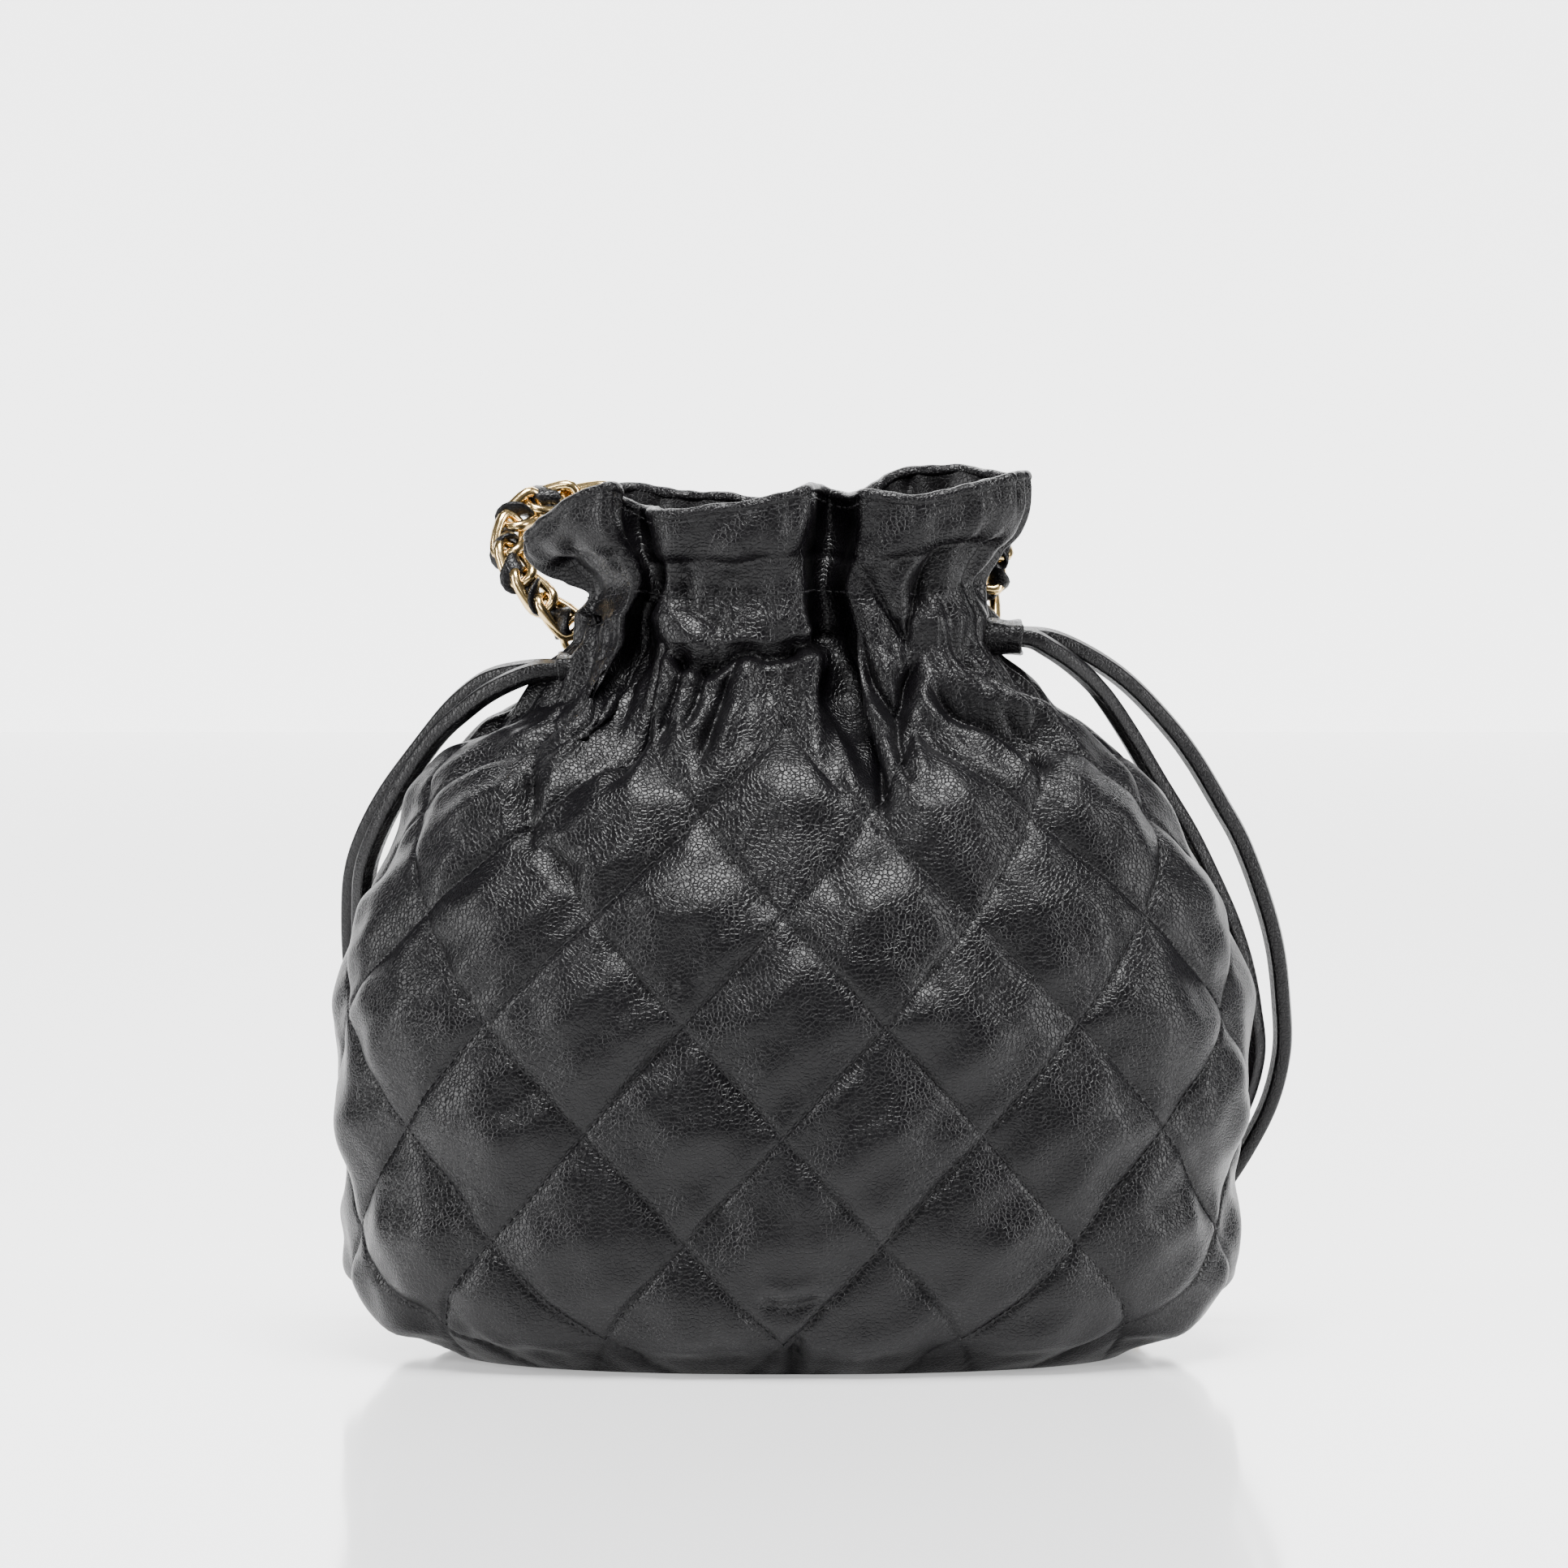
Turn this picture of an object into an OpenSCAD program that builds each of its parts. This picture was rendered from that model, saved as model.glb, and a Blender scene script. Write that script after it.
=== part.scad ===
// A small quilted leather bucket bag: sack, gathered neck, collar, drawstrings and a chain strap.
// Millimetres, +Z up. The origin is on the floor under the middle of the bag, and the front faces -Y.

/* [Sack] */
// Width of the sack at its widest
belly_w = 205; // [180:1:250]
// Depth of the sack at its widest, front to back
belly_d = 118; // [100:1:124]
// Height of the widest place above the floor
belly_z = 78; // [60:1:90]
// Width of the flat base
base_w = 152; // [120:1:170]
// Depth of the flat base
base_d = 88; // [70:1:100]
// Height at which the sack meets the casing
neck_z = 146; // [130:1:150]
// Squareness of every horizontal section: 2 is an ellipse
section_power = 2.25; // [2:0.05:2.6]

/* [Layers] */
// Thickness of the outer leather
leather_t = 1.2; // [0.8:0.1:2]
// Thickness of the quilt wadding
wadding_t = 2.4; // [1:0.1:4]
// Thickness of the lining
lining_t = 0.8; // [0.5:0.1:1.5]

/* [Neck and collar] */
// Width of the drawn-in neck
neck_w = 94; // [84:1:112]
// Depth of the drawn-in neck
neck_d = 44; // [38:1:48]
// Height of the casing band
casing_h = 20; // [19:0.5:24]
// Height of the collar above the casing
collar_h = 34; // [24:1:44]
// Width of the collar at its rim
rim_w = 106; // [98:1:120]
// Depth of the collar at its rim
rim_d = 50; // [46:1:56]
// Thickness of the collar facing
facing_t = 1; // [0.6:0.1:1.6]
// Waves round the rim
flute_n = 8; // [4:1:8]
// Height of those waves, in and out
flute_a = 1.2; // [0:0.1:1.6]

/* [Drawstrings] */
// Diameter that the folded strip fills
string_d = 5; // [4:0.1:5.4]
// Clearance of a string in its sleeve and casing
string_gap = 0.3; // [0.2:0.05:0.6]
// Distance between the two strands, centre to centre
strand_gap = 6; // [5.6:0.1:7]
// Height of the left string above the casing's lower edge
left_string_h = 5.8; // [5:0.1:7]
// Height of the right string above the casing's lower edge
right_string_h = 13; // [12.4:0.1:14]
// Length of the sleeve outside the casing
sleeve_l = 4.5; // [3:0.5:8]
// Wall of the sleeve
sleeve_t = 1; // [0.8:0.1:1.4]
// Length of an end keeper
keeper_l = 13; // [10:1:20]
// Diameter of an end keeper
keeper_d = 12; // [11.6:0.1:14]

/* [Chain] */
// Wire diameter of a link
wire_d = 1.7; // [1.4:0.1:2]
// Outer length of a link
link_l = 12.6; // [11.8:0.1:13]
// Outer width of a link
link_w = 7; // [6.4:0.1:7.4]
// Diameter that the woven leather strip fills
weave_d = 1.2; // [0.8:0.1:1.6]
// Diameter of an end ring at its wire's middle
ring_d = 9.2; // [8:0.1:10]
// Clearance of an end ring in its tab
tab_gap = 0.6; // [0.5:0.1:1]
// Wall of a tab round its ring
tab_t = 1.4; // [1:0.1:2]
// Width of a tab
tab_w = 4; // [3:0.5:5]

/* [Pocket] */
// Width of the pocket
pocket_w = 84; // [60:1:90]
// Height of the pocket
pocket_h = 56; // [40:1:60]
// Thickness of the flat pocket
pocket_t = 2; // [1:0.1:3]
// Length of the zip between its end stops
zip_l = 70; // [50:1:74]
// Distance between zip teeth
tooth_pitch = 2.4; // [2:0.1:3]
// Length of the slider
slider_l = 7; // [6:0.5:9]
// Length of the zip pull
pull_l = 14; // [10:1:18]
// Diameter of the pin that the zip pull turns on
pin_d = 1.4; // [1:0.1:1.8]
// Diametral clearance of the zip pull on its pin
pin_gap = 0.1; // [0.06:0.02:0.2]

/* [Hidden] */
$fn = 48;

// Angular steps of one full section, and the share of them in one side panel and one wide panel
around = 48;
side_steps = 6;
wide_steps = around / 2 - side_steps;
step_deg = 360 / around;

// The layers of the sack, as distances in from its outer face
wadding_in = leather_t;
lining_in = leather_t + wadding_t;
inside_in = lining_in + lining_t;

// The casing is a hollow band: outer wall, tunnel, inner wall
tunnel_w = string_d + 2 * string_gap;
tunnel_in = leather_t;
tunnel_out = tunnel_in + tunnel_w;
casing_in = tunnel_out + leather_t;
casing_floor = 2.4;
casing_top = neck_z + casing_h;

// Heights at which the sack's section is sampled: close together round the base and the shoulder
sack_levels = [for (f = [0, 0.03, 0.07, 0.13, 0.21, 0.32, 0.45, 0.58, 0.68, 0.77, 0.85, 0.92, 0.97, 1]) f * neck_z];
collar_levels = [for (f = [0, 0.25, 0.5, 0.75, 1]) casing_top + f * collar_h];

// Half of a size that runs from base to belly, neck and rim
function swell(z, base, belly, neck, rim) =
    z <= belly_z ? (base + (belly - base) * (1 - pow(1 - z / belly_z, 5))) / 2 :
    z < neck_z ? (neck + (belly - neck) * pow(1 - pow((z - belly_z) / (neck_z - belly_z), 2), 0.8)) / 2 :
    z <= casing_top ? neck / 2 :
    (neck + (rim - neck) * pow((z - casing_top) / collar_h, 1.2)) / 2;

function flute(deg, z) =
    z <= casing_top ? 0 : flute_a * cos(flute_n * deg) * (z - casing_top) / collar_h;

function signed_power(v) = sign(v) * pow(abs(v), 2 / section_power);

// A point of the bag's wall: its angle, its height on the outer face and its distance in from that face
function wall_point(deg, z, inset) = [
    (swell(z, base_w, belly_w, neck_w, rim_w) - inset + flute(deg, z)) * signed_power(cos(deg)),
    (swell(z, base_d, belly_d, neck_d, rim_d) - inset + flute(deg, z)) * signed_power(sin(deg)),
    z < neck_z ? inset + z * (1 - inset / neck_z) : z
];

// Faces of a closed wall between two grids of n by m points, the outer grid listed first
function wall_faces(n, m, size) = [
    for (i = [0 : n - 1], j = [0 : m - 1])
        let (a = i * (m + 1) + j, b = a + m + 1, c = b + 1, d = a + 1)
        each [[a, d, c], [a, c, b], [a + size, b + size, c + size], [a + size, c + size, d + size]],
    for (i = [0 : n - 1])
        let (a = i * (m + 1), b = a + m + 1, d = a + m, c = b + m)
        each [[a, b, b + size], [a, b + size, a + size], [c, d, d + size], [c, d + size, c + size]],
    for (j = [0 : m - 1])
        let (a = j, d = j + 1, b = n * (m + 1) + j, c = b + 1)
        each [[d, a, a + size], [d, a + size, d + size], [b, c, c + size], [b, c + size, b + size]]
];

// A stretch of wall between two distances in, over some heights, from one angle round by some steps
module wall(from_in, to_in, levels, start_deg, steps) {
    grid = [for (inset = [from_in, to_in], i = [0 : steps], z = levels)
        wall_point(start_deg + i * step_deg, z, inset)];
    count = len(grid) / 2;
    polyhedron(grid, wall_faces(steps, len(levels) - 1, count));
}

// A full band of wall, in two halves that meet
module band(from_in, to_in, levels) {
    wall(from_in, to_in, levels, 0, around / 2);
    wall(from_in, to_in, levels, 180, around / 2);
}

// A flat sheet across the bottom of the sack, between two distances in
module floor_sheet(from_in, to_in) {
    rim = [for (inset = [from_in, to_in], i = [0 : around - 1]) wall_point(i * step_deg, 0, inset)];
    polyhedron(rim, [
        [for (i = [0 : around - 1]) i],
        [for (i = [around - 1 : -1 : 0]) i + around],
        for (i = [0 : around - 1])
            let (a = i, b = (i + 1) % around)
            each [[a, a + around, b + around], [a, b + around, b]]
    ]);
}

// The outer leather

module front_panel() {
    color("#1d1b1d")
        wall(0, leather_t, sack_levels, 270 - wide_steps / 2 * step_deg, wide_steps);
}

module back_panel() {
    color("#1d1b1d")
        wall(0, leather_t, sack_levels, 90 - wide_steps / 2 * step_deg, wide_steps);
}

module left_side_panel() {
    color("#1a181a")
        wall(0, leather_t, sack_levels, 180 - side_steps / 2 * step_deg, side_steps);
}

module right_side_panel() {
    color("#1a181a")
        wall(0, leather_t, sack_levels, -side_steps / 2 * step_deg, side_steps);
}

module base_panel() {
    color("#19181a")
        floor_sheet(0, leather_t);
}

// The inner layers

module quilt_wadding() {
    color("ivory")
        band(wadding_in, lining_in, sack_levels);
}

module base_board() {
    color("tan")
        floor_sheet(wadding_in, lining_in);
}

module lining() {
    color("#2a2729") {
        band(lining_in, inside_in, sack_levels);
        floor_sheet(lining_in, inside_in);
    }
}

// The casing, with a mouth at each side for the strings

module sleeve_shape(grow) {
    half = strand_gap / 2;
    radius = string_d / 2 + string_gap + grow;
    translate([-radius, -half])
        square([2 * radius, 2 * half]);
    for (side = [-1, 1])
        translate([0, side * half])
            circle(radius);
}

// Where a sleeve starts inside the casing wall
sleeve_in = neck_w / 2 - leather_t - 1;

// A sleeve's outline driven along +X from the casing wall, at a height above the casing's lower edge
module sleeve_bar(height, grow, from_x, to_x) {
    translate([from_x, 0, neck_z + height])
        rotate([0, 90, 0])
            linear_extrude(to_x - from_x)
                sleeve_shape(grow);
}

module casing_outer() {
    color("#1c1a1c")
        difference() {
            union() {
                band(0, tunnel_in, [neck_z, casing_top]);
                band(tunnel_in, tunnel_out, [neck_z, neck_z + casing_floor]);
                band(tunnel_in, tunnel_out, [casing_top - casing_floor, casing_top]);
            }
            sleeve_bar(right_string_h, sleeve_t, sleeve_in, neck_w / 2 + 1);
            mirror([1, 0, 0])
                sleeve_bar(left_string_h, sleeve_t, sleeve_in, neck_w / 2 + 1);
        }
}

module casing_inner() {
    color("#232123")
        band(tunnel_out, casing_in, [neck_z, casing_top]);
}

module sleeve(height) {
    difference() {
        sleeve_bar(height, sleeve_t, sleeve_in, neck_w / 2 + sleeve_l);
        sleeve_bar(height, 0, sleeve_in - 1, neck_w / 2 + sleeve_l + 1);
    }
}

module left_sleeve() {
    color("#1c1a1c")
        mirror([1, 0, 0])
            sleeve(left_string_h);
}

module right_sleeve() {
    color("#1c1a1c")
        sleeve(right_string_h);
}

module collar() {
    color("#1e1c1e")
        band(0, leather_t, collar_levels);
}

module collar_facing() {
    color("#242224")
        band(leather_t, leather_t + facing_t, collar_levels);
}

// The drawstrings. A hidden run goes round the tunnel and stops short of its own sleeve.

// Angular steps that a run leaves free at its sleeve, on each side
run_free_steps = 3;

module string_run(height, mouth_deg) {
    middle = neck_z + height;
    wall(tunnel_in + string_gap, tunnel_out - string_gap, [middle - string_d / 2, middle + string_d / 2],
        mouth_deg + run_free_steps * step_deg, around - 2 * run_free_steps);
}

module left_string_run() {
    color("#201e20")
        string_run(left_string_h, 180);
}

module right_string_run() {
    color("#201e20")
        string_run(right_string_h, 0);
}

// Where the two strands of a string enter their keeper
inner_end_y = 49.3;
outer_end_y = 55;
keeper_z = 6;

// The routes of the strands' middles, from inside the casing to the keeper
string_start = neck_w / 2 - tunnel_in - tunnel_w + 0.6;
left_z = neck_z + left_string_h;
right_z = neck_z + right_string_h;
side_y = strand_gap / 2;

left_outer_route = [
    [-string_start, side_y, left_z], [-52, side_y, left_z], [-58, 4, left_z - 0.3], [-65, 8, 150],
    [-70, 11, 147.3], [-76, 15, 141.8], [-83, 19, 133], [-90, 23, 123.5], [-95, 27, 114.5],
    [-98, 31, 106], [-99, 34, 97], [-99, 38, 85], [-98, 41, 73], [-96, 44, 60], [-93, 47, 47],
    [-89, 50, 34], [-84, 53, 21], [-77.5, 55, 10], [-71, outer_end_y, keeper_z], [-68, outer_end_y, keeper_z]
];
left_inner_route = [
    [-string_start, -side_y, left_z], [-52, -side_y, left_z], [-58, -2, 150.8], [-66, 2, 147],
    [-72, 6, 142.5], [-78.5, 10, 136.5], [-85, 14, 127.5], [-91, 18.5, 117], [-95, 23.5, 107],
    [-96, 27.5, 98], [-96, 31, 88], [-95, 34, 78], [-93, 37.5, 66], [-90, 40.5, 54],
    [-86, 44, 41], [-82, 47, 29], [-78, 49, 18], [-74.5, 49.3, 9.5], [-70.5, inner_end_y, keeper_z], [-68, inner_end_y, keeper_z]
];
right_outer_route = [
    [string_start, side_y, right_z], [52, side_y, right_z], [59, 4.5, 158], [68, 8, 153.5],
    [76, 12, 147.5], [84.5, 17, 138.5], [90.5, 20, 130.5], [96.5, 23, 120.5], [101.5, 26, 111.5],
    [106.5, 29, 98.5], [109.5, 31.5, 87.5], [111, 34, 76], [111.5, 37, 64], [109, 40, 52],
    [104, 44, 41], [98, 48, 31], [91, 52, 21], [81.5, 55, 10.5], [74, outer_end_y, keeper_z], [71, outer_end_y, keeper_z]
];
right_inner_route = [
    [string_start, -side_y, right_z], [52, -side_y, right_z], [57, -2, 156.8], [63, 2, 152.5],
    [69, 8, 146.5], [75.5, 15, 137], [82, 21, 126], [89, 24.5, 114.5], [94, 27, 104.5],
    [98.7, 29, 94], [102, 31, 84], [104, 33.5, 74], [105, 36, 63], [102, 39.5, 51],
    [96, 43, 40], [89, 46, 29], [82, 48.5, 18.5], [77.5, 49.3, 9.5], [73.5, inner_end_y, keeper_z], [71, inner_end_y, keeper_z]
];

function unit(v) = v / norm(v);

// The direction of a route at one of its points
function heading(path, i) =
    i == 0 ? unit(path[1] - path[0]) :
    i == len(path) - 1 ? unit(path[i] - path[i - 1]) :
    unit(unit(path[i + 1] - path[i]) + unit(path[i] - path[i - 1]));

// A side direction that is square to a heading and lies nearest to +Y
function side_of(t) = unit([0, 1, 0] - t[1] * t);

// A tube swept along a route
module tube(path, diameter, sides) {
    last = len(path) - 1;
    rings = [for (i = [0 : last])
        let (t = heading(path, i), u = side_of(t), v = cross(t, u))
        for (k = [0 : sides - 1])
            path[i] + diameter / 2 * (cos(k * 360 / sides) * u + sin(k * 360 / sides) * v)];
    polyhedron(rings, [
        [for (k = [0 : sides - 1]) k],
        [for (k = [sides - 1 : -1 : 0]) last * sides + k],
        for (i = [0 : last - 1], k = [0 : sides - 1])
            let (a = i * sides + k, b = i * sides + (k + 1) % sides)
            each [[a, a + sides, b + sides], [a, b + sides, b]]
    ]);
}

module left_strand_outer() {
    color("#201e20")
        tube(left_outer_route, string_d, 8);
}

module left_strand_inner() {
    color("#201e20")
        tube(left_inner_route, string_d, 8);
}

module right_strand_outer() {
    color("#201e20")
        tube(right_outer_route, string_d, 8);
}

module right_strand_inner() {
    color("#201e20")
        tube(right_inner_route, string_d, 8);
}

// A keeper is a rounded leather barrel lying on the floor, square to the strands' ends
module keeper(end) {
    middle_y = (inner_end_y + outer_end_y) / 2;
    edge = 1.5;
    translate([0, middle_y, keeper_d / 2])
        rotate([0, 90, 0])
            rotate_extrude()
                polygon([[0, end - keeper_l], [keeper_d / 2 - edge, end - keeper_l],
                    [keeper_d / 2, end - keeper_l + edge], [keeper_d / 2, end - edge],
                    [keeper_d / 2 - edge / 2, end], [0, end]]);
}

module left_keeper() {
    color("#1c1a1c")
        mirror([1, 0, 0])
            keeper(68);
}

module right_keeper() {
    color("#1c1a1c")
        keeper(71);
}

// The chain strap

// Distance between the middles of two links that hang straight
link_pitch = link_l - link_w / 2 - wire_d / 2;
// How far an end wire lies past the meeting point of two links
wire_reach = link_l / 2 - wire_d / 2 - link_pitch / 2;

// The line that both end rings turn about, and their places along it
ring_y = 16;
ring_z = 153.9;
left_ring_x = -46;
right_ring_x = 42.8;

// Where the links of each riser meet, from the ring up and round behind the collar
left_riser_meets = [
    [-48.6, 16, 160.6], [-54.8, 17.6, 165.8], [-60, 20.5, 171.5], [-63.3, 25, 177.5],
    [-62.6, 30.8, 183.3], [-57.6, 35.4, 187.9], [-49.6, 37, 188.6], [-41.4, 37, 188.6]
];
right_riser_meets = [
    [43, 16.2, 162], [44.3, 18, 170], [45.8, 22, 177.1], [46.3, 28, 182.8],
    [43.3, 34.3, 187.2], [36.2, 37.5, 189.8], [28.1, 37, 188.6], [19.9, 37, 188.6]
];

// The strap swings on the rear legs of the risers' last links
swing_y = 37 + link_w / 2 - wire_d / 2;
swing_z = 188.6;
swing_heading = [0, 0.8, -0.6];
left_swing_x = -44;
right_swing_x = 22.5;

// The strap's route, hanging behind the bag and lying on the floor
strap_route = [
    [left_swing_x, swing_y, swing_z] - wire_reach * swing_heading,
    [left_swing_x, swing_y, swing_z] + 8.4 * swing_heading,
    [-43, 52, 175], [-41.5, 56, 165], [-40, 58.5, 150], [-41, 60.5, 130], [-42, 61.5, 110],
    [-43, 62.5, 90], [-44, 63.5, 70], [-45, 65, 50], [-44, 68, 32], [-40, 73, 18],
    [-33, 79, 8], [-24, 86, 4.6], [-12, 92, 4], [4, 96, 4], [24, 98, 4], [44, 98, 4],
    [58, 96, 4], [68, 93.5, 4.3], [75.5, 88, 7], [78.5, 81.5, 13], [76, 76, 21], [70, 73, 30],
    [62, 70.5, 40],
    [52, 67.5, 54], [43, 65.5, 70], [37, 63.5, 90], [32, 62, 110], [28, 60.5, 130], [25, 58.5, 150],
    [23.5, 56, 165], [22.5, 52, 175],
    [right_swing_x, swing_y, swing_z] + 8.4 * swing_heading,
    [right_swing_x, swing_y, swing_z] - wire_reach * swing_heading
];

// The length of a route up to each of its points
function lengths_to(path, i = 0, sum = 0) =
    i == len(path) ? [] :
    let (here = i == 0 ? 0 : sum + norm(path[i] - path[i - 1]))
    concat([here], lengths_to(path, i + 1, here));

// The point of a route at a length from its start
function point_at(path, reach, s) =
    let (i = min([for (k = [1 : len(path) - 1]) if (reach[k] >= s - 0.0001) k]),
        part = (s - reach[i - 1]) / (reach[i] - reach[i - 1]))
    path[i - 1] + part * (path[i] - path[i - 1]);

strap_reach = lengths_to(strap_route);
strap_length = strap_reach[len(strap_reach) - 1];
// An odd number of links, so that both end links lie square to the swing line
strap_count = 2 * ceil((strap_length / link_pitch - 1) / 2) + 1;
strap_meets = [for (k = [0 : strap_count])
    point_at(strap_route, strap_reach, min(strap_length, k * strap_length / strap_count))];

// The links of the strap that lie on the floor
// The shares of the strap between which its links lie on the floor
floor_from = 0.42;
floor_to = 0.62;
floor_first = floor(strap_count * floor_from);
floor_last = ceil(strap_count * floor_to);

// One link, lying in the XY plane with its length along X
module link() {
    bend = (link_w - wire_d) / 2;
    leg = link_l / 2 - link_w / 2;
    for (side = [-1, 1]) {
        translate([0, side * bend, 0])
            rotate([0, 90, 0])
                cylinder(d = wire_d, h = 2 * leg, center = true, $fn = 24);
        translate([side * leg, 0, 0])
            rotate([0, 0, side * 90 - 180])
                rotate_extrude(angle = 180, $fn = 32)
                    translate([bend, 0])
                        circle(d = wire_d, $fn = 24);
    }
}

// A link between two meeting points. Even links lie flat to the side direction, odd links square to it.
module link_between(start, end, index) {
    t = unit(end - start);
    u = side_of(t);
    v = cross(t, u);
    across = index % 2 == 0 ? u : v;
    up = index % 2 == 0 ? v : -u;
    middle = (start + end) / 2;
    multmatrix([
        [t[0], across[0], up[0], middle[0]],
        [t[1], across[1], up[1], middle[1]],
        [t[2], across[2], up[2], middle[2]]
    ])
        link();
}

module links(meets, first, last) {
    for (k = [first : last])
        link_between(meets[k], meets[k + 1], k);
}

// The woven strip crosses the middle of every link and passes the meeting wires in turn on four sides
weave_out = (wire_d + weave_d) / 2 + 0.35;

function weave_point(meets, k) =
    let (t = unit(meets[k + 1] - meets[k - 1]), u = side_of(t), v = cross(t, u),
        turn = k % 4, a = turn < 2 ? 1 : -1, b = turn == 0 || turn == 3 ? 1 : -1)
    meets[k] + weave_out * (a * u + b * v);

function weave_route(meets, first, last) = [
    for (k = [first : last])
        each concat([(meets[k] + meets[k + 1]) / 2], k < last ? [weave_point(meets, k + 1)] : [])
];

module left_riser_links() {
    color("#c9a553")
        links(left_riser_meets, 0, len(left_riser_meets) - 2);
}

module right_riser_links() {
    color("#c9a553")
        links(right_riser_meets, 0, len(right_riser_meets) - 2);
}

module left_riser_weave() {
    color("#1c1a1c")
        tube(weave_route(left_riser_meets, 0, len(left_riser_meets) - 3), weave_d, 6);
}

module right_riser_weave() {
    color("#1c1a1c")
        tube(weave_route(right_riser_meets, 0, len(right_riser_meets) - 3), weave_d, 6);
}

module strap_links_left() {
    color("#c9a553")
        links(strap_meets, 0, floor_first - 1);
}

module strap_links_floor() {
    color("#c9a553")
        links(strap_meets, floor_first, floor_last);
}

module strap_links_right() {
    color("#c9a553")
        links(strap_meets, floor_last + 1, strap_count - 1);
}

module strap_weave() {
    color("#1c1a1c")
        tube(weave_route(strap_meets, 1, strap_count - 2), weave_d, 6);
}

// An end ring stands in the XZ plane, and its lowest wire turns in the tab
module end_ring(x) {
    translate([x, ring_y, ring_z + ring_d / 2])
        rotate([90, 0, 0])
            rotate_extrude($fn = 48)
                translate([ring_d / 2, 0])
                    circle(d = wire_d, $fn = 24);
}

module left_ring() {
    color("#c9a553")
        end_ring(left_ring_x);
}

module right_ring() {
    color("#c9a553")
        end_ring(right_ring_x);
}

// A tab is a leather loop round the ring, with a tail that is sewn to the casing
tab_bore = wire_d + 2 * tab_gap;
tab_d = tab_bore + 2 * tab_t;
tab_deg = 45;

module tab(x) {
    near = wall_point(tab_deg, neck_z, 0);
    far = wall_point(tab_deg + step_deg, neck_z, 0);
    tail_z = ring_z - tab_d / 2;
    difference() {
        union() {
            translate([x - tab_w / 2, ring_y, ring_z])
                rotate([0, 90, 0])
                    cylinder(d = tab_d, h = tab_w);
            translate([0, 0, tail_z])
                linear_extrude(tab_t)
                    polygon([[near[0], near[1]], [x + tab_w / 2, ring_y - 1.5],
                        [x + tab_w / 2, ring_y + 1.5], [far[0], far[1]]]);
        }
        translate([x - tab_w / 2 - 1, ring_y, ring_z])
            rotate([0, 90, 0])
                cylinder(d = tab_bore, h = tab_w + 2);
    }
}

module left_tab() {
    color("#1c1a1c")
        mirror([1, 0, 0])
            tab(-left_ring_x);
}

module right_tab() {
    color("#1c1a1c")
        tab(right_ring_x);
}

// The zip pocket, flat against the back of the lining

pocket_y = 38;
pocket_z = 56;
zip_z = pocket_z + pocket_h - 7;
tape_t = 0.6;
tape_h = 11;
tooth_w = 1.3;
tooth_t = 1.2;
tooth_h = 3.4;
slider_gap = 0.25;
slider_wall = 0.9;
slider_start = -zip_l / 2 + slider_l / 2;
lug_l = 1.6;
pin_y = pocket_y - tape_t - tooth_t - slider_gap - slider_wall - 1.4;

module pocket_pouch() {
    color("#2a2729")
        translate([-pocket_w / 2, pocket_y, pocket_z])
            cube([pocket_w, pocket_t, pocket_h]);
}

module zip_tape() {
    color("#151415")
        translate([-zip_l / 2 - 4, pocket_y - tape_t, zip_z - tape_h / 2])
            cube([zip_l + 8, tape_t, tape_h]);
}

module zip_teeth() {
    color("#c9a553")
        for (k = [0 : floor(zip_l / tooth_pitch)])
            translate([-zip_l / 2 + k * tooth_pitch - tooth_w / 2, pocket_y - tape_t - tooth_t,
                zip_z - tooth_h / 2])
                cube([tooth_w, tooth_t, tooth_h]);
}

// The slider wraps the teeth from the front, and holds the pull's pin between two lugs
module zip_slider() {
    front_y = pocket_y - tape_t - tooth_t - slider_gap - slider_wall;
    inner_h = tooth_h + 2 * slider_gap;
    color("#c9a553")
        translate([slider_start, 0, zip_z]) {
            translate([-slider_l / 2, front_y, -inner_h / 2 - slider_wall])
                cube([slider_l, slider_wall, inner_h + 2 * slider_wall]);
            for (side = [-1, 1])
                translate([-slider_l / 2, front_y, side * (inner_h + slider_wall) / 2 - slider_wall / 2])
                    cube([slider_l, slider_wall + slider_gap + tooth_t, slider_wall]);
            for (side = [-1, 1])
                translate([side * (slider_l / 2 - lug_l / 2) - lug_l / 2, pin_y - 1.2, -1.2])
                    cube([lug_l, front_y - pin_y + 1.2, 2.4]);
            translate([-slider_l / 2 + lug_l / 2, pin_y, 0])
                rotate([0, 90, 0])
                    cylinder(d = pin_d, h = slider_l - lug_l);
        }
}

module zip_pull() {
    eye_w = slider_l - 2 * lug_l - 0.4;
    color("#c9a553")
        translate([slider_start, pin_y, zip_z])
            difference() {
                union() {
                    rotate([0, 90, 0])
                        cylinder(d = pin_d + 1, h = eye_w, center = true);
                    translate([-eye_w / 2, -0.6, -pull_l])
                        cube([eye_w, 1.2, pull_l]);
                }
                rotate([0, 90, 0])
                    cylinder(d = pin_d + pin_gap, h = eye_w + 2, center = true);
            }
}

front_panel();
back_panel();
left_side_panel();
right_side_panel();
base_panel();
quilt_wadding();
lining();
base_board();
casing_outer();
casing_inner();
collar();
collar_facing();
left_sleeve();
right_sleeve();
left_string_run();
right_string_run();
left_strand_outer();
left_strand_inner();
right_strand_outer();
right_strand_inner();
left_keeper();
right_keeper();
left_tab();
right_tab();
left_ring();
right_ring();
left_riser_links();
right_riser_links();
left_riser_weave();
right_riser_weave();
strap_links_left();
strap_links_floor();
strap_links_right();
strap_weave();
pocket_pouch();
zip_tape();
zip_teeth();
zip_slider();
zip_pull();
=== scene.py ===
# %% [markdown]
# # A quilted drawstring bucket bag
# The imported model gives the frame: a sack, a drawn neck, a collar, strings and a chain, each on its own body.
# Blender adds the looks. Everything is in metres, and the bag's front faces -Y.

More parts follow.
